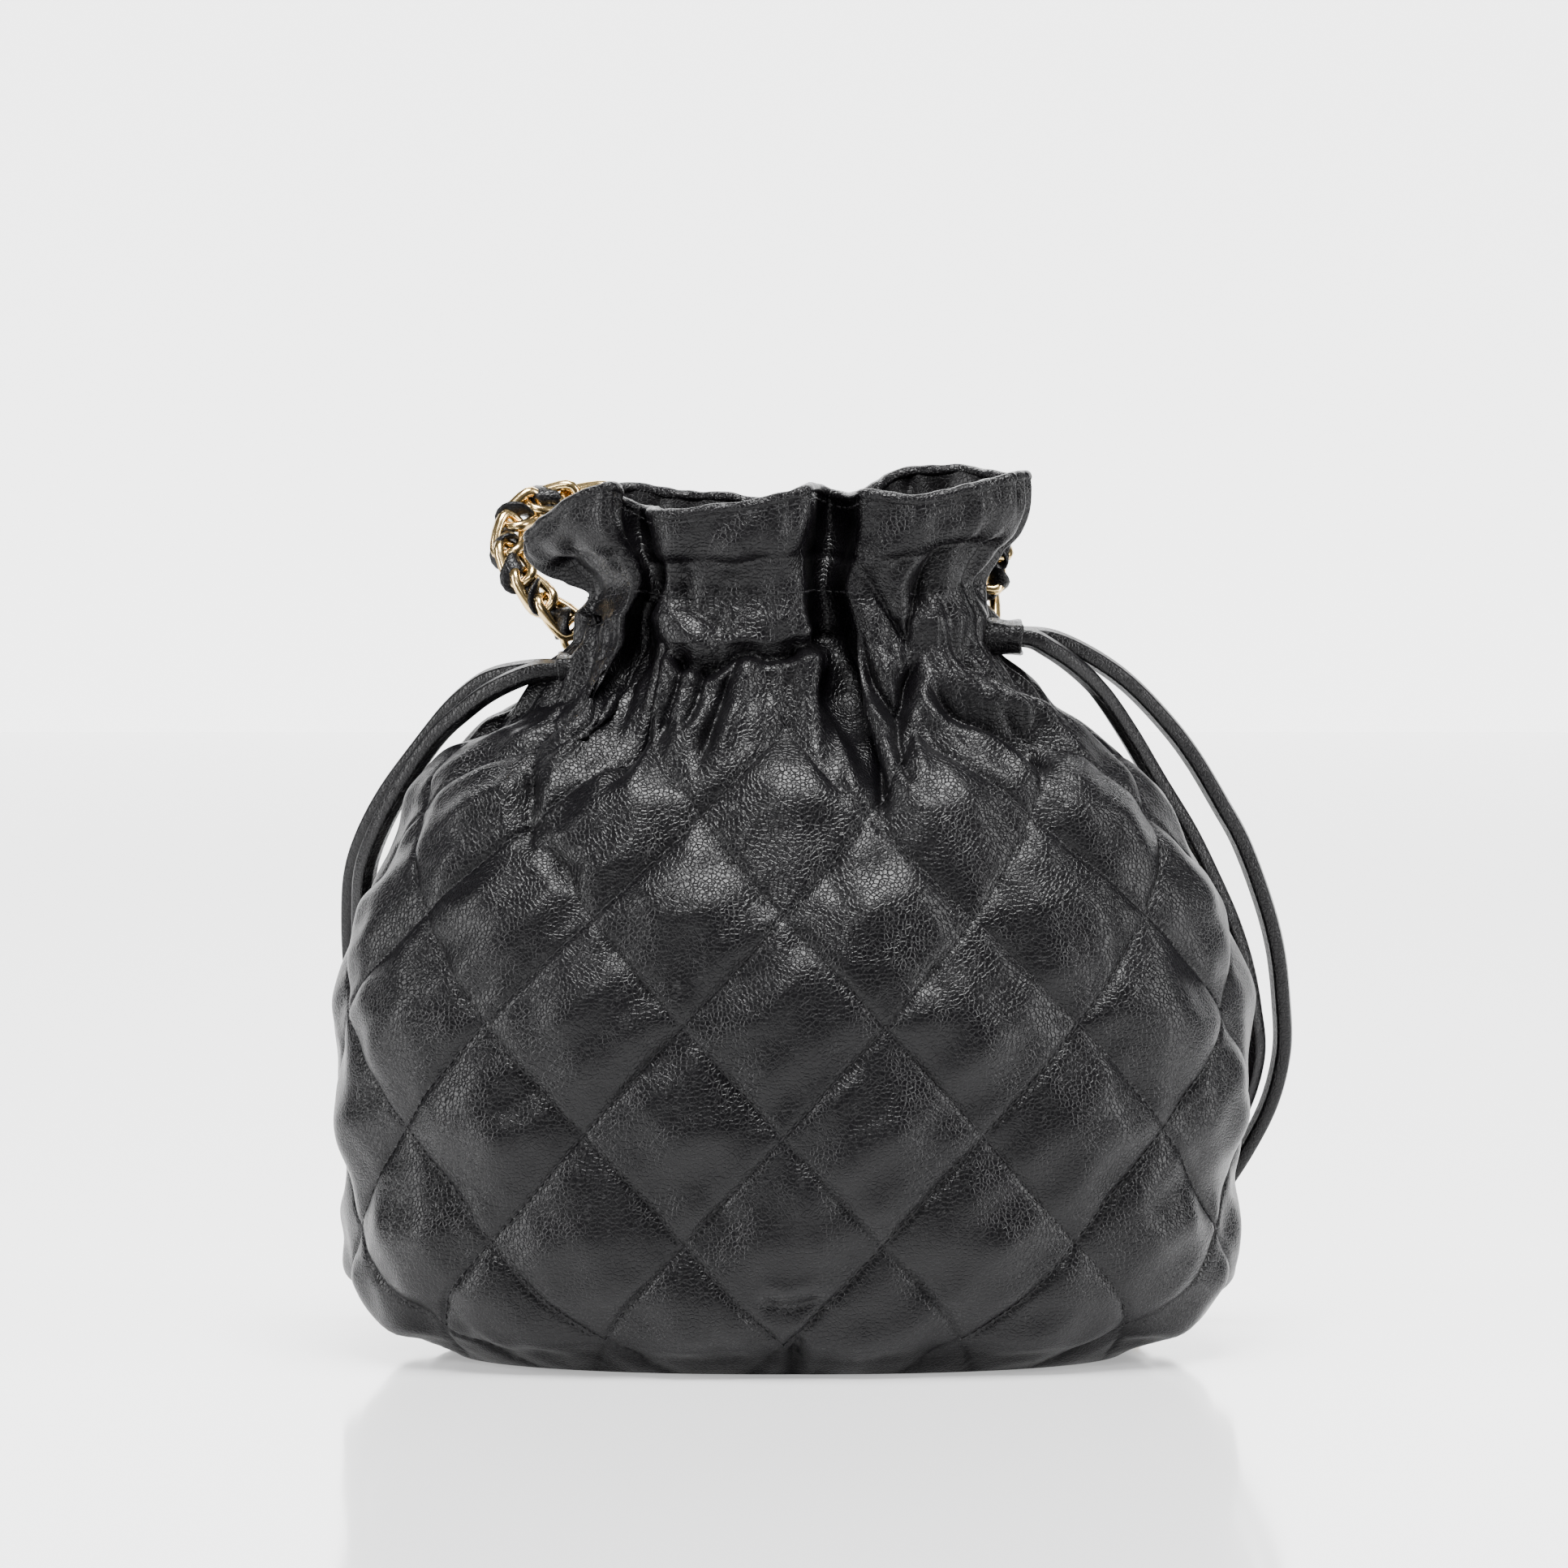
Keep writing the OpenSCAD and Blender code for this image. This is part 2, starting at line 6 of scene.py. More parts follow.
# %% Load the frame
import math

import bpy
import numpy as np
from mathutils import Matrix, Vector


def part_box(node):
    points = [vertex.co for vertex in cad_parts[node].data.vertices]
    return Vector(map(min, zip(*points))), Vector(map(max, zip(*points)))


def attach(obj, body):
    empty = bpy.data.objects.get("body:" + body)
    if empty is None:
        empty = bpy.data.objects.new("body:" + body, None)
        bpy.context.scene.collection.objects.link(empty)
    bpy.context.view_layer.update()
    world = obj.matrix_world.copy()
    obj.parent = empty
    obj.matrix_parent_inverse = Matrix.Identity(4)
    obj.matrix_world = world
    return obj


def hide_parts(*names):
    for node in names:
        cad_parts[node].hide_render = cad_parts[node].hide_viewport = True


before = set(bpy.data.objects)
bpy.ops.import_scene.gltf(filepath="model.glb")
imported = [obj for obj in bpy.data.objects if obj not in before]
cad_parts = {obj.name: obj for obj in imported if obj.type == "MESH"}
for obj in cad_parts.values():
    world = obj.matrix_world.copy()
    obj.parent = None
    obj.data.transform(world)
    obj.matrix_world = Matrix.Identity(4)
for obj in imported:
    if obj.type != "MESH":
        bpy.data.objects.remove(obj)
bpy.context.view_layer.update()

MM = 0.001

# %% [markdown]
# The camera comes first, so that every later choice is judged through it. A long lens from 1.9 m keeps the
# bag's outline nearly free of perspective, and it looks down by only a few degrees.

# %% Camera
VIEW_UP = math.radians(3.5)
VIEW_DISTANCE = 1.9
VIEW_WIDTH = 0.3478
AIM = Vector((-0.0013, 0.0, 0.1263))

camera_data = bpy.data.cameras.new("camera")
camera_data.sensor_width = 36
camera_data.lens = 36 * VIEW_DISTANCE / VIEW_WIDTH
camera = bpy.data.objects.new("camera", camera_data)
bpy.context.scene.collection.objects.link(camera)
camera.location = AIM + Vector((0, -math.cos(VIEW_UP), math.sin(VIEW_UP))) * VIEW_DISTANCE
camera.rotation_euler = (math.pi / 2 - VIEW_UP, 0, 0)
bpy.context.scene.camera = camera

# %% [markdown]
# Shader graphs are easier to read as sums. This small class wraps a socket, so that `mask * 2 + 1` adds the
# Math nodes by itself, and `tree.node(...)` makes any other node from its type, settings and sockets.

# %% Shader helpers
class Sock:
    def __init__(self, tree, socket):
        self.tree, self.socket = tree, socket

    def math(self, operation, *others, clamp=False):
        return self.tree.node("ShaderNodeMath", {"operation": operation, "use_clamp": clamp},
                              {i: v for i, v in enumerate((self, *others))})

    def __add__(self, other): return self.math("ADD", other)
    def __sub__(self, other): return self.math("SUBTRACT", other)
    def __mul__(self, other): return self.math("MULTIPLY", other)
    def __radd__(self, other): return self + other
    def __rmul__(self, other): return self * other

    def __rsub__(self, other):
        return self.tree.node("ShaderNodeMath", {"operation": "SUBTRACT"}, {0: other, 1: self})

    def power(self, other): return self.math("POWER", other)
    def clip(self): return self.math("ADD", 0.0, clamp=True)


class Material:
    def __init__(self, name):
        self.material = bpy.data.materials.new(name)
        self.material.use_nodes = True
        self.nodes = self.material.node_tree.nodes
        self.links = self.material.node_tree.links
        self.shader = self.nodes["Principled BSDF"]

    def node(self, kind, settings=None, inputs=None, out=0):
        made = self.nodes.new(kind)
        for key, value in (settings or {}).items():
            setattr(made, key, value)
        for key, value in (inputs or {}).items():
            self.feed(made.inputs[key], value)
        return Sock(self, made.outputs[out])

    def feed(self, socket, value):
        if isinstance(value, Sock):
            self.links.new(value.socket, socket)
        else:
            socket.default_value = value

    def set(self, **values):
        for key, value in values.items():
            self.feed(self.shader.inputs[key.replace("_", " ")], value)

    def ramp(self, fac, stops):
        made = self.nodes.new("ShaderNodeValToRGB")
        ramp = made.color_ramp
        while len(ramp.elements) < len(stops):
            ramp.elements.new(0.5)
        for element, (position, colour) in zip(ramp.elements, stops):
            element.position = position
            element.color = (*colour, 1)
        self.feed(made.inputs[0], fac)
        return Sock(self, made.outputs[0])

    def mix(self, fac, a, b):
        return self.node("ShaderNodeMix", {"data_type": "RGBA"}, {0: fac, 6: a, 7: b}, out=2)

    def noise(self, where, scale, detail=2.0, roughness=0.5):
        return self.node("ShaderNodeTexNoise", {}, {"Vector": where, "Scale": scale,
                         "Detail": detail, "Roughness": roughness})

    def bump(self, height, distance, strength=1.0, normal=None):
        inputs = {"Height": height, "Distance": distance, "Strength": strength}
        if normal is not None:
            inputs["Normal"] = normal
        return self.node("ShaderNodeBump", {}, inputs)

    def place(self):
        return self.node("ShaderNodeTexCoord", out=3)

# %% [markdown]
# Lambskin is a skin: small cells with fine creases between them, a soft sheen, and slow changes of gloss
# where hands have rubbed it. Voronoi cells give the grain, and noise bends them so that no row shows.
# The cells are real size, under a millimetre, and read Object coordinates, so they never slide.

# %% Leather
def leather(name, tint, grain=1.0, rough=0.36, cell=1050.0):
    m = Material(name)
    where = m.place()
    warp = m.node("ShaderNodeTexNoise", {}, {"Vector": where, "Scale": 180.0, "Detail": 2.0}, out=1)
    bent = m.node("ShaderNodeVectorMath", {"operation": "MULTIPLY_ADD"},
                  {0: warp, 1: (0.0011, 0.0011, 0.0011), 2: where})
    cells = m.node("ShaderNodeTexVoronoi", {"feature": "DISTANCE_TO_EDGE"},
                   {"Vector": bent, "Scale": cell, "Randomness": 0.9})
    pores = m.node("ShaderNodeTexVoronoi", {"feature": "F1"}, {"Vector": bent, "Scale": cell * 2.3})
    patches = m.noise(where, 38.0, 3.0, 0.6)
    long_wear = m.noise(where, 9.0, 2.0, 0.5)
    fine = m.noise(where, 2600.0, 2.0, 0.6)
    raised = (cells * 6.0).clip()
    wrinkles = m.noise(where, 320.0, 4.0, 0.62)
    skin = raised * 0.6 + pores * -0.25 + fine * 0.15 + wrinkles * 0.22
    m.set(Normal=m.bump(skin, 0.000145 * grain, 0.75))
    dark = tuple(0.62 * c for c in tint)
    light = tuple(min(1.0, 1.7 * c) for c in tint)
    tone = m.ramp(patches, [(0.3, dark), (0.55, tint), (0.8, light)])
    # the crevices between grain cells keep the dark tone, and the cell tops take a third of the patch tone, so the
    # crevices come out darker
    crevice_dark_tone = m.mix((raised * 0.35).clip(), m.ramp(patches, [(0.3, dark), (0.8, dark)]), tone)
    m.set(Base_Color=crevice_dark_tone)
    m.set(Roughness=(rough - 0.10) + patches * 0.08 + long_wear * 0.08 - raised * 0.04)
    m.shader.inputs["Specular IOR Level"].default_value = 0.2
    return m.material


black_leather = leather("quilted_lambskin", (0.0026, 0.0023, 0.0030))
plain_leather = leather("plain_lambskin", (0.0027, 0.0023, 0.0030))
facing_leather = leather("facing_lambskin", (0.0034, 0.0030, 0.0036), grain=0.7, rough=0.42)
string_leather = leather("folded_strip_leather", (0.0034, 0.0030, 0.0036), grain=0.8, rough=0.36)

# %% [markdown]
# A folded strip is not a round cord: it is about 5 mm wide and 3.5 mm thick, with its raw edges sewn
# together along one side. Its route is the cord's own route in the frame, repeated here in metres.
# The mesh is swept in code with the strip's own outline, because a bevelled curve can't hold a groove.

# %% Drawstring routes and sweeping
string_routes = {
    "left_strand_outer": [
        (-40.8, 3, 151.8), (-52, 3, 151.8), (-58, 4, 151.5), (-65, 8, 150), (-70, 11, 147.3),
        (-76, 15, 141.8),
        (-83, 19, 133), (-90, 23, 123.5), (-95, 27, 114.5), (-98, 31, 106), (-99, 34, 97), (-99, 38, 85),
        (-98, 41, 73), (-96, 44, 60), (-93, 47, 47), (-89, 50, 34), (-84, 53, 21), (-77.5, 55, 10),
        (-71, 55, 6), (-68, 55, 6)],
    "left_strand_inner": [
        (-40.8, -3, 151.8), (-52, -3, 151.8), (-58, -2, 150.8), (-66, 2, 147), (-72, 6, 142.5),
        (-78.5, 10, 136.5), (-85, 14, 127.5), (-91, 18.5, 117), (-95, 23.5, 107), (-96, 27.5, 98),
        (-96, 31, 88), (-95, 34, 78), (-93, 37.5, 66), (-90, 40.5, 54), (-86, 44, 41), (-82, 47, 29),
        (-78, 49, 18), (-74.5, 49.3, 9.5), (-70.5, 49.3, 6), (-68, 49.3, 6)],
    "right_strand_outer": [
        (40.8, 3, 159), (52, 3, 159), (59, 4.5, 158), (68, 8, 153.5), (76, 12, 147.5), (84.5, 17, 138.5),
        (90.5, 20, 130.5), (96.5, 23, 120.5), (101.5, 26, 111.5), (106.5, 29, 98.5), (109.5, 31.5, 87.5),
        (111, 34, 76), (111.5, 37, 64), (109, 40, 52), (104, 44, 41), (98, 48, 31), (91, 52, 21),
        (81.5, 55, 10.5), (74, 55, 6), (71, 55, 6)],
    "right_strand_inner": [
        (40.8, -3, 159), (52, -3, 159), (57, -2, 156.8), (63, 2, 152.5), (69, 8, 146.5), (75.5, 15, 137),
        (82, 21, 126), (89, 24.5, 114.5), (94, 27, 104.5), (98.7, 29, 94), (102, 31, 84),
        (104, 33.5, 74), (105, 36, 63), (102, 39.5, 51), (96, 43, 40), (89, 46, 29), (82, 48.5, 18.5),
        (77.5, 49.3, 9.5), (73.5, 49.3, 6), (71, 49.3, 6)],
}
STRIP_WIDTH = 5.3 * MM
STRIP_THICK = 4.5 * MM


def catmull(points, per_span, closed=False):
    """A smooth curve through points, as an array, with per_span steps between two of them."""
    p = np.asarray(points, float)
    if closed:
        p = np.vstack([p[-1:], p, p[:2]])
    else:
        p = np.vstack([2 * p[:1] - p[1:2], p, 2 * p[-1:] - p[-2:-1]])
    t = np.linspace(0, 1, per_span, endpoint=False)[:, None]
    spans = []
    for a, b, c, d in zip(p[:-3], p[1:-2], p[2:-1], p[3:]):
        spans.append(0.5 * (2 * b + (c - a) * t + (2 * a - 5 * b + 4 * c - d) * t ** 2
                            + (3 * b - 3 * c + d - a) * t ** 3))
    smooth = np.vstack(spans)
    return smooth if closed else np.vstack([smooth, p[-2:-1]])


def resample(path, step):
    """The same path with points a fixed step apart."""
    reach = np.concatenate([[0], np.cumsum(np.linalg.norm(np.diff(path, axis=0), axis=1))])
    count = max(2, int(round(reach[-1] / step)) + 1)
    where = np.linspace(0, reach[-1], count)
    return np.stack([np.interp(where, reach, path[:, k]) for k in range(3)], axis=1)


def unit_rows(v):
    return v / np.maximum(np.linalg.norm(v, axis=-1, keepdims=True), 1e-12)


def frames_along(path, up):
    """Headings, sides and normals along a path, turned as little as possible from a first normal."""
    heading = unit_rows(np.gradient(path, axis=0))
    normal = np.zeros_like(path)
    last = np.asarray(up, float)
    for i, t in enumerate(heading):
        last = last - t * float(last @ t)
        last = last / np.linalg.norm(last)
        normal[i] = last
    return heading, np.cross(heading, normal), normal


def new_mesh(name, points, faces, material, smooth=True):
    mesh = bpy.data.meshes.new(name)
    mesh.from_pydata([tuple(p) for p in np.asarray(points, float)], [], [tuple(f) for f in faces])
    mesh.materials.append(material)
    mesh.polygons.foreach_set("use_smooth", [smooth] * len(mesh.polygons))
    mesh.update()
    piece = bpy.data.objects.new(name, mesh)
    bpy.context.scene.collection.objects.link(piece)
    return piece


def swept(path, outline, up, twist=0.0):
    """Points and quads of an outline (side, normal) carried along a path, with closed ends."""
    heading, side, normal = frames_along(path, up)
    turn = np.linspace(0, twist, len(path)) if np.isscalar(twist) else twist
    cos, sin = np.cos(turn)[:, None], np.sin(turn)[:, None]
    side, normal = side * cos + normal * sin, normal * cos - side * sin
    outline = np.asarray(outline, float)
    rings = (path[:, None, :] + outline[None, :, :1] * side[:, None, :]
             + outline[None, :, 1:] * normal[:, None, :])
    n, k = rings.shape[:2]
    faces = [((i + 1) * k + j, (i + 1) * k + (j + 1) % k, i * k + (j + 1) % k, i * k + j)
             for i in range(n - 1) for j in range(k)]
    faces += [tuple(range(k)), tuple((n - 1) * k + j for j in range(k))[::-1]]
    return rings.reshape(-1, 3), faces


def strip_outline(width, thick, steps=20, groove=0.12):
    """A folded strip's section: a flat rounded bar with a shallow channel where it is sewn."""
    a = np.linspace(0, 2 * math.pi, steps, endpoint=False)
    x = width / 2 * np.sign(np.cos(a)) * np.abs(np.cos(a)) ** 0.65
    y = thick / 2 * np.sign(np.sin(a)) * np.abs(np.sin(a)) ** 0.65
    dip = groove * thick * np.exp(-((np.abs(x) - 0.27 * width) / (0.10 * width)) ** 2)
    return np.stack([x, y - np.sign(y) * dip], axis=1)

# %% [markdown]
# The sack is cloth-like leather, so its form is drawn as a map: each point has a place `s` round the bag and a
# height. Outlines at several heights give the belly, and closed curves through named points give the drawn
# neck and the open, folded collar. A pleat is simply a run of points that steps in and out.

# %% Outlines of the sack
belly_z = [0, 2.5, 5, 8, 14.5, 19.5, 31, 40, 54, 74, 86, 100, 112, 122]
belly_half_w = [74, 79, 83.5, 90, 96.5, 99, 99, 98.5, 100.5, 101, 99.5, 95.5, 89.5, 83]
belly_half_d = [42, 45.5, 48, 51.5, 54.5, 56, 57.5, 58.5, 59, 59, 58, 54.5, 49.5, 44.5]
SHOULDER_Z = 122
CASING_TOP = 164
shrink_z = [122, 129.3, 138.3, 145, 151, 158]
shrink = [1.0, 0.82, 0.49, 0.33, 0.18, 0.0]

rim_points = [
    (-58, -2, 184), (-50, -12, 190), (-41, -17, 194), (-38, -10, 193.5), (-37, -2, 192), (-33, 2, 190),
    (-29, -3, 189), (-31, -12, 188.5), (-30, -19, 188), (-24, -22, 188), (-12, -23, 189.5), (0, -23.5, 192),
    (4.5, -22, 193.5), (5.5, -14, 194), (6, -4, 194), (9, 0, 193), (13, -5, 192), (14, -14, 192),
    (16, -20, 192.5), (26, -22, 191), (38, -20, 193), (48, -14, 196), (52.5, -6, 197), (51, 2, 196),
    (46, 10, 197.5), (36, 18, 199), (25, 20, 198.5), (18, 15, 195), (12, 10, 192), (5, 14, 191),
    (-4, 20, 191.5), (-14, 21, 193), (-22, 16, 193), (-30, 18, 194.5), (-38, 20, 195), (-46, 14, 192),
    (-54, 6, 186)]
neck_points = [
    (-47, -1), (-43, -9), (-37, -15), (-35, -10), (-33.5, -5), (-32, -4), (-30, -6), (-30, -12), (-29, -17),
    (-24, -19.5), (-12, -21), (-1, -21.5), (3.5, -20), (4.5, -13), (5.5, -7), (7.5, -5), (10, -7),
    (11.5, -13), (13.5, -18.5), (22, -20), (31, -18), (40, -12), (45, -2), (44, 4), (40, 10), (32, 16),
    (24, 18.5), (17, 14), (11, 11), (4, 15), (-4, 18.5), (-12, 19), (-19, 14), (-26, 17), (-34, 17),
    (-41, 12), (-46, 5)]
belly_x = [-88, -80, -68, -62, -58, -54, -50, -46, -42, -34, -18, -2, 8, 11, 13, 15, 18, 21, 25, 38, 55, 75,
           88, 80, 68, 52, 36, 25, 15, 5, -8, -22, -34, -46, -58, -70, -80]
LAST_FRONT = 22
ROUNDNESS = 2.25


def oval(angle, half_w, half_d):
    """Points of a superellipse, with the front at angle 3 pi / 2."""
    c, s = np.cos(angle), np.sin(angle)
    power = 2 / ROUNDNESS
    return (half_w * np.sign(c) * np.abs(c) ** power, half_d * np.sign(s) * np.abs(s) ** power)


def closed_curve(points, u):
    """A closed Catmull-Rom curve read at u, where a whole number is a point of the list."""
    p = np.asarray(points, float)
    n = len(p)
    i = np.floor(u).astype(int)
    t = (u - i)[:, None]
    a, b, c, d = (p[(i + k) % n] for k in (-1, 0, 1, 2))
    return 0.5 * (2 * b + (c - a) * t + (2 * a - 5 * b + 4 * c - d) * t ** 2
                  + (3 * b - 3 * c + d - a) * t ** 3)


share = np.clip(np.abs(np.array(belly_x)) / 88.6, 0, 1) ** (ROUNDNESS / 2)
quarter = np.arccos(share)
knot_angles = []
for k, x in enumerate(belly_x):
    if k <= LAST_FRONT:
        knot_angles.append(math.pi + quarter[k] if x < 0 else 2 * math.pi - quarter[k])
    else:
        knot_angles.append(2 * math.pi + quarter[k] if x > 0 else 3 * math.pi - quarter[k])
knot_angles.append(knot_angles[0] + 2 * math.pi)

COLUMNS = 660
dense = np.linspace(knot_angles[0], knot_angles[-1], 20001)
ox, oy = oval(dense, 102.5, 59)
reach = np.concatenate([[0], np.cumsum(np.hypot(np.diff(ox), np.diff(oy)))])
girth = reach[-1]
column_reach = np.arange(COLUMNS) * girth / COLUMNS
angle = np.interp(column_reach, reach, dense)
front_reach = float(np.interp(1.5 * math.pi, dense, reach))
s_round = column_reach - front_reach
s_round = (s_round + girth / 2) % girth - girth / 2
half_girth = girth / 2
FRONT_HALF, QUILT_W, DIAMONDS = 105.0, 45.0, 12
side_pitch = (DIAMONDS * QUILT_W / 2 - FRONT_HALF) / (girth / 2 - FRONT_HALF)


def lattice_s(s):
    """Cloth place s, spread a little behind the front so that whole diamonds meet at the back."""
    return s + np.sign(s) * np.maximum(np.abs(s) - FRONT_HALF, 0) * (side_pitch - 1)


u_round = np.interp(angle, knot_angles, np.arange(len(knot_angles)))
print("girth", round(girth, 1), "mm,", COLUMNS, "columns")

# %% [markdown]
# The quilting is a diamond lattice in cloth coordinates. Two families of lines cross at whole numbers of `qa`
# and `qb`, and the pad rises steeply from each line and flattens on top, as wadding does under tight skin.
# Creases are lines in the front view that press the surface in; they fade with distance.

# %% Quilt and creases
QUILT_H, QUILT_Z, QUILT_S = 48.0, 53.3, -1.6
LINE_GAP = 1 / math.hypot(1 / QUILT_W, 1 / QUILT_H)
PUFF = 3.0


def waves(x, y, size, count=9, seed=1):
    """Smooth random hills of about the given size, between about -1 and 1."""
    draw = np.random.default_rng(seed)
    total = np.zeros(np.broadcast(x, y).shape)
    for _ in range(count):
        turn, phase, stretch = draw.uniform(0, math.tau), draw.uniform(0, math.tau), draw.uniform(0.6, 1.5)
        total += np.sin(math.tau * (x * math.cos(turn) + y * math.sin(turn)) / (size * stretch) + phase)
    return total / math.sqrt(count)


def waves_round(s, y, size, count=9, seed=1):
    """Waves that meet without a step at the middle of the back, where s wraps round."""
    share = 0.5 * np.clip((np.abs(s) - half_girth + 25) / 25, 0, 1)
    here, beyond = waves(s, y, size, count, seed), waves(s - np.sign(s) * girth, y, size, count, seed)
    return here * (1 - share) + beyond * share


def quilt(s, t):
    """How far the quilted skin stands out at cloth place s, t in millimetres."""
    x = (lattice_s(s) - QUILT_S) / QUILT_W
    qa = x + (t - QUILT_Z) / QUILT_H
    qb = x - (t - QUILT_Z) / QUILT_H
    fa, fb = np.abs(np.sin(math.pi * qa)), np.abs(np.sin(math.pi * qb))
    pillow = 0.45 * (fa * fb) ** 0.40 + 0.55 * (fa * fb) ** 0.85
    da = np.abs(qa - np.round(qa)) * LINE_GAP
    db = np.abs(qb - np.round(qb)) * LINE_GAP
    # gathers beside each seam die out in a few millimetres, and start just off the stitches
    reach, start = 4.0, 0.8
    pucker_a = (waves(qb * LINE_GAP, qa * 0 + np.round(qa) * 37, 7.0, 7, 3)
                * np.exp(-da / reach) * (1 - np.exp(-da / start)))
    pucker_b = (waves(qa * LINE_GAP, qb * 0 + np.round(qb) * 53, 7.0, 7, 4)
                * np.exp(-db / reach) * (1 - np.exp(-db / start)))
    groove = np.exp(-(np.minimum(da, db) / 0.7) ** 2)
    tilt = QUILT_H / 2 * ((qa - np.floor(qa)) - (qb - np.floor(qb)))
    fold = np.exp(-((tilt - 1.0) / 4.5) ** 2) * fa * fb
    return PUFF * pillow + 0.55 * fold + 0.40 * (pucker_a + pucker_b) * pillow - 0.35 * groove


creases = [
    # depth, width, points (x, z) on the front
    (4.6, 2.6, [(10.7, 162), (11.2, 150), (13.5, 142.5), (18.5, 133), (21, 120)]),
    (2.3, 1.3, [(-30, 159), (-25, 155.5), (-17.5, 153), (-10.4, 156.3), (-4, 155.5), (4.7, 158.3),
                (10.5, 159.5)]),
    (3.0, 1.6, [(-10.5, 156), (-14, 149), (-16.5, 142), (-20, 133)]),
    (3.2, 1.7, [(-29, 159), (-30.8, 150), (-34, 139), (-40, 128)]),
    (3.0, 1.6, [(-23.5, 157), (-25, 148.5), (-29.5, 137)]),
    (2.6, 1.5, [(-18.5, 155), (-20.3, 147), (-24, 139)]),
    (3.0, 1.8, [(-35.5, 157), (-40, 148.5), (-48, 145), (-57, 139)]),
    (2.6, 1.8, [(-40, 156), (-46, 151), (-58, 144.5), (-68, 137)]),
    (2.8, 1.7, [(15.5, 159), (18, 151), (23.2, 144.8), (26, 152), (31, 158.5)]),
    (2.6, 1.6, [(23.2, 145), (24, 136), (27, 128)]),
    (3.2, 1.8, [(31, 150), (39, 142.8), (50, 138.5), (58, 131)]),
    (2.2, 1.6, [(36, 158), (45, 150), (60, 143)]),
    (1.6, 1.8, [(-56, 133), (-57.5, 124), (-57, 114)]),
    (1.0, 1.8, [(-57, 116), (-50, 112), (-46, 106)]),
    (-2.0, 4.6, [(-13, 146), (-8, 151.5), (-1, 153.5), (5, 153), (9, 148)]),
    (-1.4, 4.0, [(-27, 162), (-15, 159.5), (-4, 162), (5, 164)]),
    (-1.6, 4.5, [(30, 154), (42, 147), (58, 140), (70, 131)]),
    (-1.6, 4.5, [(-46, 156), (-60, 149), (-74, 139), (-84, 127)]),
    (-1.3, 4.0, [(-37, 150), (-44, 140), (-52, 130)]),
    (-1.3, 3.6, [(15, 147), (19, 139), (24, 129)]),
    (2.2, 2.0, [(13.5, 176), (20, 168), (26, 159), (27.5, 167), (33, 177), (46, 181)]),
    (1.6, 2.2, [(-52, 176), (-47, 170), (-43, 160)]),
    (1.4, 2.0, [(-24, 176), (-21, 166), (-12, 160)]),
    (1.3, 1.8, [(-8, 17.5), (0, 16), (8, 18)]),
    (1.5, 1.6, [(2.5, 10), (1.0, 5), (0.5, 0)]),
]


def crease_depth(x, z):
    total = np.zeros(x.shape)
    for depth, width, line in creases:
        path = catmull([(a, 0, b) for a, b in line], 6)[:, [0, 2]]
        best = np.full(x.shape, 1e9)
        along = np.zeros(x.shape)
        for i, (p, q) in enumerate(zip(path[:-1], path[1:])):
            d = q - p
            t = np.clip(((x - p[0]) * d[0] + (z - p[1]) * d[1]) / (d @ d), 0, 1)
            near = np.hypot(x - p[0] - t * d[0], z - p[1] - t * d[1])
            along = np.where(near < best, (i + t) / (len(path) - 1), along)
            best = np.minimum(best, near)
        fade = np.clip(np.minimum(along, 1 - along) * 5, 0, 1)
        profile = 1.5 * np.exp(-best / width) if depth > 0 else 1.3 * np.exp(-(best / width) ** 2)
        total += depth * profile * (0.15 + 0.85 * fade)
        if depth > 0:
            total -= 0.35 * depth * np.exp(-((best - 2.4 * width) / width) ** 2) * fade
    return total

# %% [markdown]
# Now the map itself. Below the shoulder a row is a plain outline; above it the row slides from the belly
# outline to the neck curve, so the neck's pleats fade out down the shoulder just as gathers do.

# %% The sack as a grid of points
body_rows = np.concatenate([[0, 0.7, 1.6], np.linspace(3, 148, 174)])
casing_rows = np.linspace(148, CASING_TOP, 26)
collar_share = np.linspace(0, 1, 40)
neck_curve = closed_curve([(x, y, 163) for x, y in neck_points], u_round)
rim_curve = closed_curve([(x, y, z - 2.7 - 0.061 * y) for x, y, z in rim_points], u_round)


def column_points(z):
    """A row of points at height z, up to the top of the casing."""
    low = min(z, SHOULDER_Z)
    x, y = oval(angle, np.interp(low, belly_z, belly_half_w), np.interp(low, belly_z, belly_half_d))
    if z > SHOULDER_Z:
        f = float(np.interp(z, shrink_z, shrink))
        soft = f * f * (3 - 2 * f) * 0.35 + f * 0.65
        x = neck_curve[:, 0] + (x - neck_curve[:, 0]) * soft
        y = neck_curve[:, 1] + (y - neck_curve[:, 1]) * soft
    return np.stack([x, y, np.full_like(x, z)], axis=1)


def smooth_levels(values, at):
    """Values given at levels, read smoothly between them, so the outline has no corner."""
    return catmull([(v, l, 0) for l, v in zip(at, values)], 12)


wide, deep = smooth_levels(belly_half_w, belly_z), smooth_levels(belly_half_d, belly_z)
closing = smooth_levels(shrink, shrink_z)
belly_z, belly_half_w, belly_half_d = wide[:, 1], wide[:, 0], np.interp(wide[:, 1], deep[:, 1], deep[:, 0])
shrink_z, shrink = closing[:, 1], closing[:, 0]

lower = np.stack([column_points(z) for z in np.concatenate([body_rows, casing_rows[1:]])])
start = lower[-1]
lean = rim_curve - start
upper = []
for c in collar_share[1:]:
    flare = min(max((c - 0.22) / 0.62, 0), 1)
    flare = flare * flare * (3 - 2 * flare)
    pinch = 1 - 0.07 * math.sin(math.pi * min(c / 0.6, 1))
    row = start * np.array([pinch, pinch, 1]) + lean * np.array([flare, flare, c])
    upper.append(row)
upper = np.stack(upper)
skin = np.concatenate([lower, upper])
rows_body, rows_casing = len(body_rows), len(casing_rows) - 1
first_collar = rows_body + rows_casing - 1
print("grid", skin.shape)


